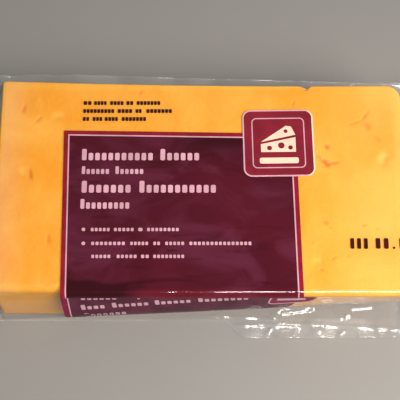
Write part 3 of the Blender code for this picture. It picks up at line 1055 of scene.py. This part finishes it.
def patch_grid(corners, across, along):
    """Points and faces of a four-sided patch: near left, near right, far right, far left."""
    a, b, c, d = (np.array(corner) for corner in corners)
    p = np.tile(np.arange(across + 1) / across, along + 1)[:, None]
    q = np.repeat(np.arange(along + 1) / along, across + 1)[:, None]
    wide = across + 1
    faces = [(j * wide + i, j * wide + i + 1, (j + 1) * wide + i + 1, (j + 1) * wide + i)
             for j in range(along) for i in range(across)]
    return mix(mix(a, b, p), mix(d, c, p), q), faces


def ribbon(path, width, closed=False):
    """Points and faces of a line of even width along a path, mitred at its turns."""
    path = np.array(path, float)
    count = len(path)
    after = np.roll(path, -1, axis=0) - path
    before = path - np.roll(path, 1, axis=0)
    if not closed:
        after[-1] = before[-1]
        before[0] = after[0]
    after = after / np.linalg.norm(after, axis=1)[:, None]
    before = before / np.linalg.norm(before, axis=1)[:, None]
    side = np.stack([-(after + before)[:, 1], (after + before)[:, 0]], 1)
    side = side / np.linalg.norm(side, axis=1)[:, None]
    straight = np.stack([-after[:, 1], after[:, 0]], 1)
    stretch = 1.0 / np.maximum((side * straight).sum(1), 0.4)
    offset = side * stretch[:, None] * width / 2
    points = np.concatenate([path - offset, path + offset])
    last = count if closed else count - 1
    faces = [(i, (i + 1) % count, count + (i + 1) % count, count + i) for i in range(last)]
    return points, faces


def long_line(start, end, step=0.0008):
    count = max(2, int(np.hypot(end[0] - start[0], end[1] - start[1]) / step) + 1)
    return [tuple(mix(np.array(start), np.array(end), i / (count - 1))) for i in range(count)]


def rounded_box(middle, width, depth, corner, turn=0.0, steps=5, straights=1):
    """The outline of a box with round corners, turned about its middle."""
    outline = []
    corners = ((1, -1, -90.0), (1, 1, 0.0), (-1, 1, 90.0), (-1, -1, 180.0))
    for side_x, side_y, start in corners:
        for i in range(steps + 1):
            angle = radians(start + 90.0 * i / steps)
            outline.append((side_x * (width / 2 - corner) + corner * cos(angle),
                            side_y * (depth / 2 - corner) + corner * sin(angle)))
    if straights > 1:
        filled = []
        for i, here in enumerate(outline):
            there = outline[(i + 1) % len(outline)]
            filled.append(here)
            if np.hypot(there[0] - here[0], there[1] - here[1]) > 2.0 * corner / steps + 0.001:
                for k in range(1, straights):
                    filled.append(tuple(mix(np.array(here), np.array(there), k / straights)))
        outline = filled
    c = cos(turn)
    s = sin(turn)
    return [(middle[0] + x * c - y * s, middle[1] + x * s + y * c) for x, y in outline]


def plate(outline, rings=1):
    """Points and faces that fill an outline, in rings towards its middle."""
    outline = np.array(outline)
    if rings == 1:
        return outline, [tuple(range(len(outline)))]
    middle = outline.mean(0)
    count = len(outline)
    points = [mix(outline, middle, k / rings) for k in range(rings)]
    points.append(middle[None, :])
    faces = []
    for k in range(rings - 1):
        for i in range(count):
            j = (i + 1) % count
            faces.append((k * count + i, k * count + j, (k + 1) * count + j, (k + 1) * count + i))
    centre = rings * count
    last = (rings - 1) * count
    for i in range(count):
        faces.append((last + i, last + (i + 1) % count, centre))
    return np.concatenate(points), faces


def joined(patches):
    points = []
    faces = []
    start = 0
    for patch_points, patch_faces in patches:
        points.append(np.array(patch_points))
        faces.extend(tuple(start + i for i in face) for face in patch_faces)
        start += len(patch_points)
    return np.concatenate(points), faces


def add_print(name, patches, lift, material, lip=0.0, outward=False):
    """A thin closed slab of ink that lies on the film, from patches in x and skin length."""
    flat, faces = joined(patches)
    u, v = flat.T
    raised = lift + lip * smooth_step(EDGE_V + 0.0016, EDGE_V + 0.0002, v)
    upper = on_film(u, v, raised)
    lower = on_film(u, v, raised - INK_THICKNESS)
    count = len(flat)
    edges = {(a, b): None for face in faces for a, b in zip(face, face[1:] + face[:1])}
    walls = [(b, a, a + count, b + count) for a, b in edges if (b, a) not in edges]
    under = [tuple(i + count for i in face[::-1]) for face in faces]
    mesh = mesh_from(name, np.concatenate([upper, lower]), faces + under + walls)
    mesh.shade_smooth()
    mesh.set_sharp_from_angle(angle=INK_SHARP_ANGLE)
    if outward:
        face_outward(mesh)
    add_piece(name, mesh, material)
    return mesh, np.concatenate([u, u]), np.concatenate([v, v])


def word_blocks(word, baseline, height, tall, pitch, share, slope=0.0):
    """Plain rounded blocks, one for each letter's place of a word, the first one tall."""
    start, end = word
    count = max(1, round((end - start) / pitch))
    pace = (end - start) / count
    width = pace * share
    blocks = []
    for i in range(count):
        high = tall if i == 0 else height
        middle_x = start + (i + 0.5) * pace
        middle_y = baseline + slope * (middle_x - start) + high / 2
        outline = rounded_box((middle_x, middle_y), width, high, 0.30 * min(width, high),
                              turn=slope, steps=3)
        blocks.append(plate(outline))
    return blocks


class PackOperator:
    """What every operator here shares: its sizes, its colours and its undo step."""

    bl_options = {"REGISTER", "UNDO"}

    @property
    def sizes(self):
        return bpy.context.scene.pack_sizes

    @property
    def colours(self):
        return bpy.context.scene.pack_colours


class CHEDDAR_OT_cheese(PackOperator, bpy.types.Operator):
    """Build the cheese block inside the film"""

    bl_idname = "cheddar.cheese"
    bl_label = "Cheese Block"

    def execute(self, context):
        end = BLOCK_LENGTH / 2 - CHEESE_END_GAP
        straight = end - CHEESE_EDGE_RADIUS
        places = list(np.linspace(-straight, straight, CHEESE_PLACES))
        for angle in np.linspace(0.0, pi / 2, CHEESE_END_PLACES + 1)[1:]:
            places = [-(straight + CHEESE_EDGE_RADIUS * sin(angle))] + places
            places = places + [straight + CHEESE_EDGE_RADIUS * sin(angle)]
        rings = [cheese_ring(x, self.sizes) for x in places]
        points = np.concatenate(rings)
        x, y, z = points.T
        depth, wet, pale, red_and_shade = cheese_paint(x, y)
        on_face = smooth_step(BLOCK_HEIGHT - 0.0022, BLOCK_HEIGHT - 0.0006, z)
        swell = 0.00006 * cloud(x, y, 0.007, 91) + 0.00003 * cloud(x, y, 0.0022, 92) - 0.00008
        points[:, 2] = z + on_face * (swell - depth)
        count = len(rings[0])
        mesh = loft("cheddar_block", points.reshape(-1, count, 3))
        paint(mesh, "wet", wet)
        # The sides are paler all along, and painted light makes them paler still towards the right
        # end
        side_pale_and_lit = 0.25 + 0.45 * smooth_step(0.020, 0.045, x)
        paint(mesh, "pale", np.maximum(pale * on_face, side_pale_and_lit * (1.0 - on_face)))
        paint(mesh, "fissure", red_and_shade * on_face)
        piece = add_piece("cheddar_block", mesh, cheddar_material(self.colours))
        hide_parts(PACK_NODE)
        return {"FINISHED"}


class CHEDDAR_OT_film(PackOperator, bpy.types.Operator):
    """Build the clear film round the cheese, with its margins and end seals"""

    bl_idname = "cheddar.film"
    bl_label = "Clear Film"

    def execute(self, context):
        end = BLOCK_LENGTH / 2
        straight = end - END_RADIUS
        tent_end = end + TENT_LENGTH
        places = set(np.linspace(-straight, straight, FILM_PLACES))
        places.update(np.linspace(*FILM_CLOSE_SPAN, FILM_CLOSE_PLACES))
        for side in (-1.0, 1.0):
            for angle in np.linspace(0.0, pi / 2, FILM_CORNER_PLACES):
                places.add(side * (straight + END_RADIUS * sin(angle)))
            places.update(side * np.linspace(end, tent_end, TENT_PLACES))
            places.update(side * np.linspace(tent_end, tent_end + SEAL_LENGTH, SEAL_PLACES))
        ordered = sorted(places)
        kept = [ordered[0]]
        for x in ordered[1:]:
            if x - kept[-1] > LEAST_PACE:
                kept.append(x)
        rings = [film_ring(x, self.sizes) for x in kept]
        mesh = loft("film_wrap", rings)
        paint(mesh, "haze", film_haze(np.concatenate(rings)))
        piece = add_piece("film_wrap", mesh, film_material())
        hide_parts(PACK_NODE)
        return {"FINISHED"}


class CHEDDAR_OT_panel(PackOperator, bpy.types.Operator):
    """Print the maroon panel with its outer band and pale border line"""

    bl_idname = "cheddar.panel"
    bl_label = "Printed Panel"

    def execute(self, context):
        sizes = self.sizes
        colours = self.colours
        inset = sizes.border_inset
        step = sizes.ink_step
        lift = sizes.print_lift
        low_left = (PANEL_LEFT_NEAR, EDGE_V)
        low_right = (PANEL_RIGHT_NEAR, EDGE_V)
        band = patch_grid((low_left, low_right, PANEL_RIGHT_TOP, PANEL_LEFT_TOP), *BAND_STEPS)
        add_print("panel_band", [band], lift, ink_material("band_print", colours.band, 0.75),
                  lip=PANEL_LIP)
        inner = [(x + inward_x * inset, y + inward_y * inset)
                 for (x, y), inward_x, inward_y in (
                     (low_left, 1, 0), (low_right, -1, 0),
                     (PANEL_RIGHT_TOP, -1, -1), (PANEL_LEFT_TOP, 1, -1))]
        mesh, u, v = add_print("panel_field", [patch_grid(inner, *FIELD_STEPS)], lift + step,
                               field_material("maroon_print", colours, 0.50), lip=PANEL_LIP)
        # Painted shade, where the film reflects dark instead of its sheen: the lower left, a streak,
        # the top
        corner = -0.0290 - 0.0016 * smooth_step(-0.037, -0.022, u) + 0.0005 * cloud(u, v, 0.004, 13)
        painted_shade = smooth_step(0.0006, -0.0006, v - corner) * smooth_step(-0.016, -0.024, u)
        streak = bump(v + 0.0296 + 0.0006 * np.sin(u * 190.0), 0.0011)
        streak = streak * smooth_step(-0.028, -0.021, u) * smooth_step(0.002, -0.010, u)
        top_dark = bump(v - 0.0150, 0.0085) * smooth_step(-0.016, 0.004, u)
        paint(mesh, "painted_shade", np.clip(painted_shade + 0.9 * streak + 0.95 * top_dark, 0.0, 1.0))
        # A redder line along the near edge, and faint redder clouds
        redder = 0.16 * smooth_step(-0.0316, -0.0326, v) * (1.0 - painted_shade)
        paint(mesh, "redder", redder + 0.06 * smooth_step(0.1, 0.7, cloud(u, v, 0.012, 14)))
        path = long_line(inner[0], inner[3])[:-1] + long_line(inner[3], inner[2])[:-1]
        points, faces = ribbon(path + long_line(inner[2], inner[1]), sizes.border_width)
        add_print("panel_border", [(points, [face[::-1] for face in faces])], lift + 2 * step,
                  pale_print(colours), PANEL_LIP, True)
        return {"FINISHED"}


class CHEDDAR_OT_words(PackOperator, bpy.types.Operator):
    """Print plain blocks in the places of the panel's and the film's words"""

    bl_idname = "cheddar.words"
    bl_label = "Word Blocks"

    def execute(self, context):
        sizes = self.sizes
        colours = self.colours
        lift = sizes.print_lift + 2 * sizes.ink_step
        share = sizes.block_share
        blocks = []
        for words, baseline, height, tall, pitch in HEADLINES:
            for word in words:
                blocks += word_blocks(word, baseline, height, tall, pitch, share)
        add_print("headline_blocks", blocks, lift, pale_print(colours))
        blocks = []
        for words, baseline in SMALL_LINES:
            for word in words:
                blocks += word_blocks(word, baseline + SMALL_RISE, SMALL_HEIGHT, SMALL_HEIGHT,
                                      SMALL_PITCH, share)
        for middle in BULLETS:
            blocks.append(plate(rounded_box(middle, *BULLET_BOX, steps=4)))
        add_print("small_blocks", blocks, lift, pale_print(colours))
        blocks = []
        for words, baseline in DARK_LINES:
            for word in words:
                blocks += word_blocks(word, baseline, DARK_HEIGHT, DARK_HEIGHT, DARK_PITCH,
                                      DARK_FILL * share)
        for word in WEIGHT_WORDS:
            blocks += word_blocks(word, WEIGHT_BASELINE, WEIGHT_HEIGHT, WEIGHT_HEIGHT,
                                  WEIGHT_PITCH, WEIGHT_FILL * share, WEIGHT_SLOPE)
        blocks.append(plate(rounded_box(WEIGHT_POINT, *WEIGHT_POINT_BOX, steps=4)))
        add_print("dark_blocks", blocks, sizes.print_lift,
                  ink_material("dark_print", colours.dark_ink, 0.7))
        return {"FINISHED"}


class CHEDDAR_OT_badge(PackOperator, bpy.types.Operator):
    """Print the square badge with a wedge of cheese as its picture"""

    bl_idname = "cheddar.badge"
    bl_label = "Badge"

    def execute(self, context):
        sizes = self.sizes
        colours = self.colours
        step = sizes.ink_step
        base = sizes.print_lift + 3 * step
        turn = sizes.badge_turn
        wide = sizes.badge_width
        deep = sizes.badge_depth
        corner = sizes.badge_corner
        pale = pale_print(colours)
        badge_ink = ink_material("badge_print", colours.badge, 0.78)
        peach_ink = ink_material("peach_print", colours.peach_ink, 0.9)
        edge_ink = ink_material("badge_edge_print", colours.pale_ink, 0.9, 0.45, colours.peach_ink)

        def at(x, y):
            c = cos(turn)
            s = sin(turn)
            return (BADGE_MIDDLE[0] + x * c - y * s, BADGE_MIDDLE[1] + x * s + y * c)

        counts = (BADGE_CORNER_STEPS, BADGE_SIDE_STEPS)
        outer = rounded_box(BADGE_MIDDLE, wide, deep, corner, turn, *counts)
        mesh, u, _ = add_print("badge_edge", [plate(outer, BADGE_RINGS)], base, edge_ink)
        paint(mesh, "warm", smooth_step(0.0085, 0.0100, u - BADGE_MIDDLE[0]))
        rim = BADGE_RIM
        field = rounded_box(BADGE_MIDDLE, wide - 2 * rim, deep - 2 * rim, corner - rim, turn,
                            *counts)
        add_print("badge_field", [plate(field, BADGE_RINGS)], base + step, badge_ink)
        frame_path = rounded_box(BADGE_MIDDLE, *BADGE_LINE_BOX, turn, 5, 16)
        add_print("badge_line", [ribbon(frame_path, BADGE_LINE_WIDTH, closed=True)],
                  base + 2 * step, pale, outward=True)
        picture = [plate([at(x, y) for x, y in face]) for face in (WEDGE_SIDE, WEDGE_TOP)]
        picture.append(plate(rounded_box(at(*WEDGE_BAR_MIDDLE), *WEDGE_BAR_BOX, turn, 3)))
        add_print("badge_wedge", picture, base + 2 * step, peach_ink)
        holes = [plate(rounded_box(at(x, y), 2 * radius, 2 * radius, radius * 0.98, 0.0, 5))
                 for x, y, radius in BADGE_HOLES]
        add_print("badge_holes", holes, base + 3 * step, badge_ink)
        return {"FINISHED"}


class CHEDDAR_OT_side(PackOperator, bpy.types.Operator):
    """Print the panel that runs on down the near side"""

    bl_idname = "cheddar.side"
    bl_label = "Side Panel"

    def execute(self, context):
        sizes = self.sizes
        colours = self.colours
        step = sizes.ink_step
        lift = sizes.print_lift
        share = sizes.block_share
        pale = pale_print(colours)
        top = EDGE_V + 0.0002
        low = EDGE_V - SIDE_DEPTH
        left = SIDE_LEFT
        right = SIDE_RIGHT
        side = patch_grid(((left + SIDE_LEAN_LEFT, low), (right - SIDE_LEAN_RIGHT, low),
                           (right, top), (left, top)), *SIDE_STEPS)
        # The side inks are lighter and more violet by a painted sheen
        add_print("side_band_and_sheen", [side], lift,
                  ink_material("side_band_print", colours.side_band_and_sheen, 0.7, SIDE_GLOSS))
        line_top = left + SIDE_LINE_TOP
        line_low = left + SIDE_LINE_LOW
        field = patch_grid(((line_low, low), (right - SIDE_FIELD_LOW, low),
                            (right - SIDE_FIELD_TOP, top), (line_top, top)), *SIDE_STEPS)
        add_print("side_field", [field], lift + step,
                  ink_material("side_print", colours.side_maroon_and_sheen, 0.7, SIDE_GLOSS))
        blocks = []
        for words, down, slope, height, tall, pitch in SIDE_LINES:
            for word in words:
                rise = EDGE_V - down + slope * (word[0] - words[0][0])
                blocks += word_blocks(word, rise, height, tall, pitch, share, slope)
        add_print("side_blocks", blocks, lift + 2 * step, pale)
        badge_path = [(x, EDGE_V - down) for x, down in SIDE_BADGE]
        add_print("side_badge", [plate(badge_path)], lift + 1.5 * step,
                  ink_material("side_badge_print", colours.side_band_and_sheen, 0.8, SIDE_GLOSS), outward=True)
        border = ribbon(long_line((line_low, low), (line_top, top)), sizes.border_width)
        bar = plate(rounded_box((SIDE_BAR_X, EDGE_V - SIDE_BAR_DOWN), *SIDE_BAR_BOX, 3))
        add_print("side_lines", [border, ribbon(badge_path, SIDE_BADGE_LINE), bar], lift + 2.5 * step,
                  pale, outward=True)
        return {"FINISHED"}


def crimp_tree(inputs):
    """Ridges along Y on both faces of both end seals, as a node group with named inputs."""
    tree = bpy.data.node_groups.new("seal_crimps", "GeometryNodeTree")
    names = {}
    for label, (kind, _) in inputs.items():
        socket = tree.interface.new_socket(label, in_out="INPUT", socket_type="NodeSocket" + kind)
        names[label] = socket.identifier
    tree.interface.new_socket("Geometry", in_out="OUTPUT", socket_type="NodeSocketGeometry")
    value = add_node(tree, "NodeGroupInput").outputs

    def fed(kind, sources, values=None, **settings):
        """A node with its inputs linked to other nodes' outputs; gives its own first output."""
        made = add_node(tree, kind, values, **settings)
        for key, source in sources.items():
            tree.links.new(source, made.inputs[key])
        return made.outputs[0]

    def maths(operation, *sources):
        return fed("ShaderNodeMath", dict(enumerate(sources)), operation=operation)

    line = fed("GeometryNodeCurvePrimitiveLine", {
        "Start": fed("ShaderNodeCombineXYZ", {"Y": value["Near Y"]}),
        "End": fed("ShaderNodeCombineXYZ", {"Y": value["Far Y"]})})
    fine = fed("GeometryNodeResampleCurve", {"Curve": line}, {"Count": 72})
    parts = add_node(tree, "ShaderNodeSeparateXYZ")
    tree.links.new(add_node(tree, "GeometryNodeInputPosition").outputs[0], parts.inputs[0])
    along = maths("SUBTRACT", parts.outputs["Y"], value["Wave Start"])
    rise = maths("MULTIPLY", along, value["Height Slope"])
    turn = maths("SINE", maths("MULTIPLY", along, value["Wave Rate"]))
    height = maths("ADD", maths("ADD", rise, value["Near Height"]),
                   maths("MULTIPLY", turn, value["Wave"]))
    raised = fed("ShaderNodeCombineXYZ", {"Y": parts.outputs["Y"], "Z": height})
    moved = fed("GeometryNodeSetPosition", {"Geometry": fine, "Position": raised})
    ring = fed("GeometryNodeCurvePrimitiveCircle", {"Radius": value["Ridge Radius"]},
               {"Resolution": 6})
    ridge = fed("GeometryNodeCurveToMesh", {"Curve": moved, "Profile Curve": ring},
                {"Fill Caps": True})
    both = add_node(tree, "GeometryNodeJoinGeometry")
    for label, sign in (("First Ridge X", 1.0), ("Last Ridge X", -1.0)):
        pace = fed("ShaderNodeMath", {0: value["Ridge Pitch"]}, {1: sign}, operation="MULTIPLY")
        row = fed("GeometryNodeMeshLine", {
            "Count": value["Ridge Count"],
            "Start Location": fed("ShaderNodeCombineXYZ", {"X": value[label]}),
            "Offset": fed("ShaderNodeCombineXYZ", {"X": pace})}, mode="OFFSET")
        placed = fed("GeometryNodeInstanceOnPoints", {"Points": row, "Instance": ridge})
        tree.links.new(placed, both.inputs[0])
    real = fed("GeometryNodeRealizeInstances", {0: both.outputs[0]})
    dressed = fed("GeometryNodeSetMaterial", {"Geometry": real, "Material": value["Material"]})
    tree.links.new(dressed, add_node(tree, "NodeGroupOutput").inputs[0])
    return tree, names


class CHEDDAR_OT_crimps(PackOperator, bpy.types.Operator):
    """Press ridges into both end seals with Geometry Nodes"""

    bl_idname = "cheddar.crimps"
    bl_label = "Seal Crimps"

    def execute(self, context):
        sizes = self.sizes
        material = crimp_material()
        seal_x = BLOCK_LENGTH / 2 + TENT_LENGTH + sizes.crimp_pitch
        inputs = {
            "Near Y": ("Float", float(near_wing_edge(0.07)) + CRIMP_INSET + BLOCK_SHIFT_Y),
            "Far Y": ("Float", float(far_margin_edge(0.08)) - CRIMP_INSET + BLOCK_SHIFT_Y),
            "Near Height": ("Float", SEAL_HEIGHT_NEAR),
            "Height Slope": ("Float", (SEAL_HEIGHT_FAR - SEAL_HEIGHT_NEAR) / BLOCK_DEPTH),
            "Wave": ("Float", SEAL_WAVE),
            "Wave Rate": ("Float", tau * SEAL_WAVES / BLOCK_DEPTH),
            "Wave Start": ("Float", -BLOCK_DEPTH / 2 + BLOCK_SHIFT_Y),
            "Ridge Radius": ("Float", sizes.crimp_radius),
            "Ridge Count": ("Int", sizes.crimp_count),
            "Ridge Pitch": ("Float", sizes.crimp_pitch),
            "First Ridge X": ("Float", seal_x),
            "Last Ridge X": ("Float", -seal_x),
            "Material": ("Material", material),
        }
        tree, names = crimp_tree(inputs)
        holder = bpy.data.objects.new("crimp_source", bpy.data.meshes.new("crimp_source"))
        context.scene.collection.objects.link(holder)
        modifier = holder.modifiers.new("crimps", "NODES")
        modifier.node_group = tree
        for label, (_, amount) in inputs.items():
            modifier[names[label]] = amount
        context.view_layer.update()
        graph = context.evaluated_depsgraph_get()
        mesh = bpy.data.meshes.new_from_object(holder.evaluated_get(graph))
        if len(mesh.polygons) == 0:
            raise RuntimeError("the crimp tree made no faces")
        bpy.data.objects.remove(holder, do_unlink=True)
        face_outward(mesh)
        add_piece("end_crimps", mesh, material)
        return {"FINISHED"}


class CHEDDAR_OT_back_seam(PackOperator, bpy.types.Operator):
    """Lay the film's long back seam flat under the block"""

    bl_idname = "cheddar.back_seam"
    bl_label = "Back Seam"

    def execute(self, context):
        rings = []
        for x in np.linspace(-SEAM_REACH, SEAM_REACH, SEAM_PLACES):
            y = np.linspace(-SEAM_HALF_WIDTH, SEAM_HALF_WIDTH, SEAM_POINTS)
            y = y + SEAM_SWAY * sin(x * SEAM_SWAY_RATE)
            z = np.repeat((SEAM_TOP, SEAM_UNDER), SEAM_POINTS)
            rings.append(np.column_stack([np.full_like(z, x), np.concatenate([y, y[::-1]]), z]))
        mesh = loft("back_seam", rings)
        add_piece("back_seam", mesh, crimp_material())
        return {"FINISHED"}


def add_light(name, place, target, width, height, watts, colour):
    data = bpy.data.lights.new(name, "AREA")
    data.shape = "RECTANGLE"
    data.size = width
    data.size_y = height
    data.energy = watts
    data.color = colour
    item = bpy.data.objects.new(name, data)
    bpy.context.scene.collection.objects.link(item)
    item.location = place
    direction = Vector(target) - item.location
    item.rotation_euler = direction.to_track_quat("-Z", "Y").to_euler()


class CHEDDAR_OT_stage(PackOperator, bpy.types.Operator):
    """Set the pale floor, the soft lights and the camera"""

    bl_idname = "cheddar.stage"
    bl_label = "Studio"

    def execute(self, context):
        scene = context.scene
        mesh = bpy.data.meshes.new("floor")
        half = FLOOR_HALF
        mesh.from_pydata([(-half, -half, 0.0), (half, -half, 0.0), (half, half, 0.0),
                          (-half, half, 0.0)], [], [(0, 1, 2, 3)])
        floor = bpy.data.objects.new("floor", mesh)
        scene.collection.objects.link(floor)
        floor.location.z = FLOOR_HEIGHT
        material, tree = new_tree("pale_floor")
        speck = object_noise(tree, 40.0, 4.0)
        floor_colour = self.colours.floor
        base = mix_colours(tree, speck, darkened(floor_colour, 0.96), floor_colour)
        close_principled(tree, {"Roughness": 0.6}, base)
        mesh.materials.append(material)
        world = bpy.data.worlds.new("studio")
        world.use_nodes = True
        background = world.node_tree.nodes["Background"]
        background.inputs["Color"].default_value = WORLD_COLOUR
        background.inputs["Strength"].default_value = WORLD_STRENGTH
        scene.world = world
        for light in LIGHTS:
            add_light(*light)
        camera_data = bpy.data.cameras.new("camera")
        camera_data.lens = CAMERA_LENS
        camera_data.sensor_width = 36.0
        camera_data.clip_start = 0.01
        camera = bpy.data.objects.new("camera", camera_data)
        scene.collection.objects.link(camera)
        forward = Vector((sin(CAMERA_TURN) * cos(CAMERA_ELEVATION),
                          cos(CAMERA_TURN) * cos(CAMERA_ELEVATION), -sin(CAMERA_ELEVATION)))
        level = Vector((cos(CAMERA_TURN), -sin(CAMERA_TURN), 0.0))
        above = level.cross(forward)
        right = level * cos(CAMERA_ROLL) + above * sin(CAMERA_ROLL)
        up = above * cos(CAMERA_ROLL) - level * sin(CAMERA_ROLL)
        target = Vector(CAMERA_TARGET) + Vector((0.0, BLOCK_SHIFT_Y, 0.0))
        axes = Matrix((right, up, -forward)).transposed()
        camera.matrix_world = Matrix.Translation(target - forward * CAMERA_DISTANCE) @ axes.to_4x4()
        scene.camera = camera
        scene.view_settings.view_transform = "Standard"
        return {"FINISHED"}


class CHEDDAR_PT_pack(bpy.types.Panel):
    """The pack's pieces, sizes and colours"""

    bl_idname = "CHEDDAR_PT_pack"
    bl_label = "Film-packed Cheddar"
    bl_space_type = "VIEW_3D"
    bl_region_type = "UI"
    bl_category = "Cheddar"

    def draw(self, context):
        layout = self.layout
        for operator in OPERATORS:
            layout.operator(operator.bl_idname)
        for group in (context.scene.pack_sizes, context.scene.pack_colours):
            box = layout.box()
            for name in group.bl_rna.properties.keys():
                if name not in ("rna_type", "name"):
                    box.prop(group, name)


OPERATORS = (CHEDDAR_OT_cheese, CHEDDAR_OT_film, CHEDDAR_OT_panel, CHEDDAR_OT_words,
             CHEDDAR_OT_badge, CHEDDAR_OT_side, CHEDDAR_OT_crimps, CHEDDAR_OT_back_seam,
             CHEDDAR_OT_stage)
CLASSES = (PackSizes, PackColours) + OPERATORS + (CHEDDAR_PT_pack,)


def register():
    for item in CLASSES:
        bpy.utils.register_class(item)
    bpy.types.Scene.pack_sizes = bpy.props.PointerProperty(type=PackSizes)
    bpy.types.Scene.pack_colours = bpy.props.PointerProperty(type=PackColours)


def unregister():
    del bpy.types.Scene.pack_colours
    del bpy.types.Scene.pack_sizes
    for item in reversed(CLASSES):
        bpy.utils.unregister_class(item)


def main():
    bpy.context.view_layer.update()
    register()
    bpy.ops.cheddar.cheese()
    bpy.ops.cheddar.film()
    bpy.ops.cheddar.panel()
    bpy.ops.cheddar.words()
    bpy.ops.cheddar.badge()
    bpy.ops.cheddar.side()
    bpy.ops.cheddar.crimps()
    bpy.ops.cheddar.back_seam()
    bpy.ops.cheddar.stage()


if __name__ == "__main__":
    main()
